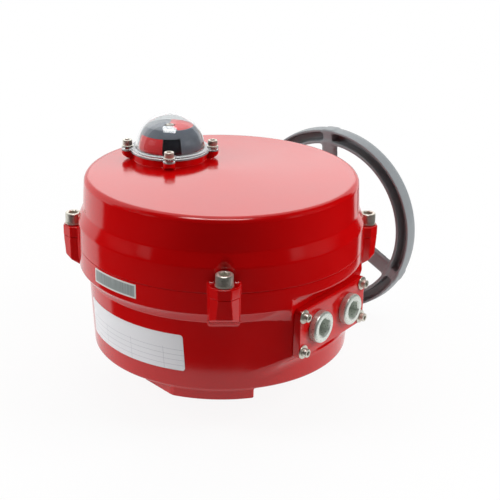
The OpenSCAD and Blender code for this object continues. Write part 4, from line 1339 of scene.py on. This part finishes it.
def studio_cloth(name, colour, faces):
    """Cloth of the set as (angle from the camera, reach, height) faces, glowing in its colour: nothing for
    black cloth, a painted glow for a grey card. Only reflections show it.
    """
    shape = bmesh.new()
    for corners in faces:
        spots = []
        for angle, reach, height in corners:
            turn = math.radians(VIEW_TURN - 90 + angle)
            across = HOUSING_X * MM + reach * math.cos(turn)
            spots.append((across, reach * math.sin(turn), FLOOR_Z + height))
        shape.faces.new([shape.verts.new(spot) for spot in spots])
    mesh = bpy.data.meshes.new(name)
    shape.to_mesh(mesh)
    shape.free()
    material, tree, shader = blank(name)
    feed(tree, shader, {"Base Color": (0, 0, 0, 1), "Specular IOR Level": 0.0,
                        "Emission Color": (*colour, 1), "Emission Strength": 1.0})
    mesh.materials.append(material)
    cloth = bpy.data.objects.new(name, mesh)
    bpy.context.scene.collection.objects.link(cloth)
    cloth.visible_camera = False
    cloth.visible_diffuse = False
    cloth.visible_transmission = False
    cloth.visible_shadow = False


def tent_patch(start, end, low, high, reach):
    """Four corners of a patch of the tent, between two angles and two rises."""
    corners = ((start, low), (end, low), (end, high), (start, high))
    return [(a, reach * math.cos(math.radians(e)), reach * math.sin(math.radians(e))) for a, e in corners]


def make_flags():
    """Black cloth in front of the set, low and overhead, and two grey cards that glow, a painted glow
    standing in for soft boxes that shows as pale patches in the gloss. They keep the gloss deep.
    """
    reach, top = LOW_FLAG
    faces = []
    for left, right, low in LOW_FLAGS:
        turns = stations(left, right, CLOTH_STEP)
        for a, b in zip(turns, turns[1:]):
            faces.append([(a, reach, low), (b, reach, low), (b, reach, top), (a, reach, top)])
    left, right, reach = TENT
    turns, rises = stations(left, right, CLOTH_STEP), stations(-2, 80, CLOTH_STEP)
    for a, b in zip(turns, turns[1:]):
        faces += [tent_patch(a, b, low, high, reach) for low, high in zip(rises, rises[1:])]
    studio_cloth("Black studio cloth", (0, 0, 0), faces)
    near, far, low, high = CARDS
    cards = [tent_patch(side * near, side * far, low, high, reach - 0.05) for side in (-1, 1)]
    # painted glow: the grey cards shine by themselves and show as pale patches in the gloss
    studio_cloth("Grey card", (0.5, 0.5, 0.5), cards)


def make_world(scene):
    """Dim room light, and plain white behind everything that is seen."""
    world = bpy.data.worlds.new("Studio")
    scene.world = world
    world.use_nodes = True
    tree = world.node_tree
    tree.nodes.clear()
    room = add(tree, "ShaderNodeBackground", {"Color": (1, 1, 1, 1), "Strength": 0.14})
    paper = add(tree, "ShaderNodeBackground", {"Color": (1, 1, 1, 1), "Strength": 1.0})
    choice = add(tree, "ShaderNodeMixShader", {0: pale_rays(tree), 1: room.outputs[0], 2: paper.outputs[0]})
    add(tree, "ShaderNodeOutputWorld", {"Surface": choice.outputs[0]})


LAMPS = (  # name, turn from the camera, rise, distance, width, height, watts, what it lights
    ("Overhead soft box", 180, 72, 1.3, 1.4, 1.4, 9.6, "diffuse"),
    ("Back soft box", 180, 24, 2.2, 2.0, 0.7, 5.0, "both"),
    ("Left soft box", -82, 25, 1.4, 0.7, 1.0, 13.5, "diffuse"),
    ("Right soft box", 82, 25, 1.4, 0.7, 1.0, 15.5, "diffuse"),
    ("Front strip", -8, 71, 1.16, 0.68, 0.24, 5.8, "gloss"),
)


def make_lamps():
    """Soft boxes round the object, and a strip that only the gloss shows."""
    target = Vector((HOUSING_X, 0, BASE_TOP)) * MM
    for name, turn, rise, distance, width, height, power, lights in LAMPS:
        lamp = bpy.data.lights.new(name, "AREA")
        lamp.shape = "RECTANGLE"
        lamp.size, lamp.size_y = width, height
        lamp.energy = power
        side, up = math.radians(VIEW_TURN - 90 + turn), math.radians(rise)
        away = Vector((math.cos(side) * math.cos(up), math.sin(side) * math.cos(up), math.sin(up)))
        light = bpy.data.objects.new(name, lamp)
        light.location = target + away * distance
        light.rotation_euler = (-away).to_track_quat("-Z", "Y").to_euler()
        light.visible_camera = False
        light.visible_glossy = lights != "diffuse"
        light.visible_diffuse = lights != "gloss"
        bpy.context.scene.collection.objects.link(light)


def make_camera(scene):
    """Camera at the photograph's angle, in front of the middle of the seam."""
    pitch, yaw, roll = [math.radians(a) for a in (VIEW_PITCH, VIEW_YAW, VIEW_ROLL)]
    level = Vector((math.sin(yaw), math.cos(yaw), 0))
    right = Vector((math.cos(yaw), -math.sin(yaw), 0))
    ahead = level * math.cos(pitch) - Vector((0, 0, math.sin(pitch)))
    up = level * math.sin(pitch) + Vector((0, 0, math.cos(pitch)))
    tilted = Matrix((right * math.cos(roll) + up * math.sin(roll),
                     up * math.cos(roll) - right * math.sin(roll), -ahead)).transposed()
    turn = Matrix.Rotation(math.radians(VIEW_TURN), 3, "Z")
    seam_middle = Vector((HOUSING_X, 0, (BASE_TOP + COVER_FOOT) / 2))
    camera = bpy.data.cameras.new("Camera")
    camera.sensor_width = 36
    camera.lens = camera.sensor_width * VIEW_FOCAL
    camera.clip_start, camera.clip_end = 0.05, 60
    eye = bpy.data.objects.new("Camera", camera)
    stand = seam_middle + turn @ Vector((0, -VIEW_DISTANCE, VIEW_RISE))
    eye.matrix_world = Matrix.Translation(stand * MM) @ (turn @ tilted).to_4x4()
    scene.collection.objects.link(eye)
    scene.camera = eye


class ACTUATOR_PT_panel(bpy.types.Panel):
    """Buttons that build the actuator"""
    bl_label = "Valve actuator"
    bl_idname = "ACTUATOR_PT_panel"
    bl_space_type = "VIEW_3D"
    bl_region_type = "UI"
    bl_category = "Actuator"

    def draw(self, context):
        for group in (context.scene.actuator_colours, context.scene.actuator_sizes):
            for name in group.__annotations__:
                self.layout.prop(group, name)
        for operator in OPERATORS:
            self.layout.operator(operator.bl_idname)


OPERATORS = (ACTUATOR_OT_inner, ACTUATOR_OT_base, ACTUATOR_OT_cover, ACTUATOR_OT_dome, ACTUATOR_OT_drum,
             ACTUATOR_OT_handwheel, ACTUATOR_OT_conduit, ACTUATOR_OT_labels, ACTUATOR_OT_stage)
CLASSES = (ActuatorColours, ActuatorSizes, *OPERATORS, ACTUATOR_PT_panel)


def register():
    for entry in CLASSES:
        bpy.utils.register_class(entry)
    bpy.types.Scene.actuator_colours = bpy.props.PointerProperty(type=ActuatorColours)
    bpy.types.Scene.actuator_sizes = bpy.props.PointerProperty(type=ActuatorSizes)


def unregister():
    del bpy.types.Scene.actuator_sizes
    del bpy.types.Scene.actuator_colours
    for entry in reversed(CLASSES):
        bpy.utils.unregister_class(entry)


def main():
    register()
    make_finishes()
    bpy.ops.actuator.inner()
    bpy.ops.actuator.base()
    bpy.ops.actuator.cover()
    bpy.ops.actuator.dome()
    bpy.ops.actuator.drum()
    bpy.ops.actuator.handwheel()
    bpy.ops.actuator.conduit()
    bpy.ops.actuator.labels()
    bpy.ops.actuator.stage()


if __name__ == "__main__":
    main()
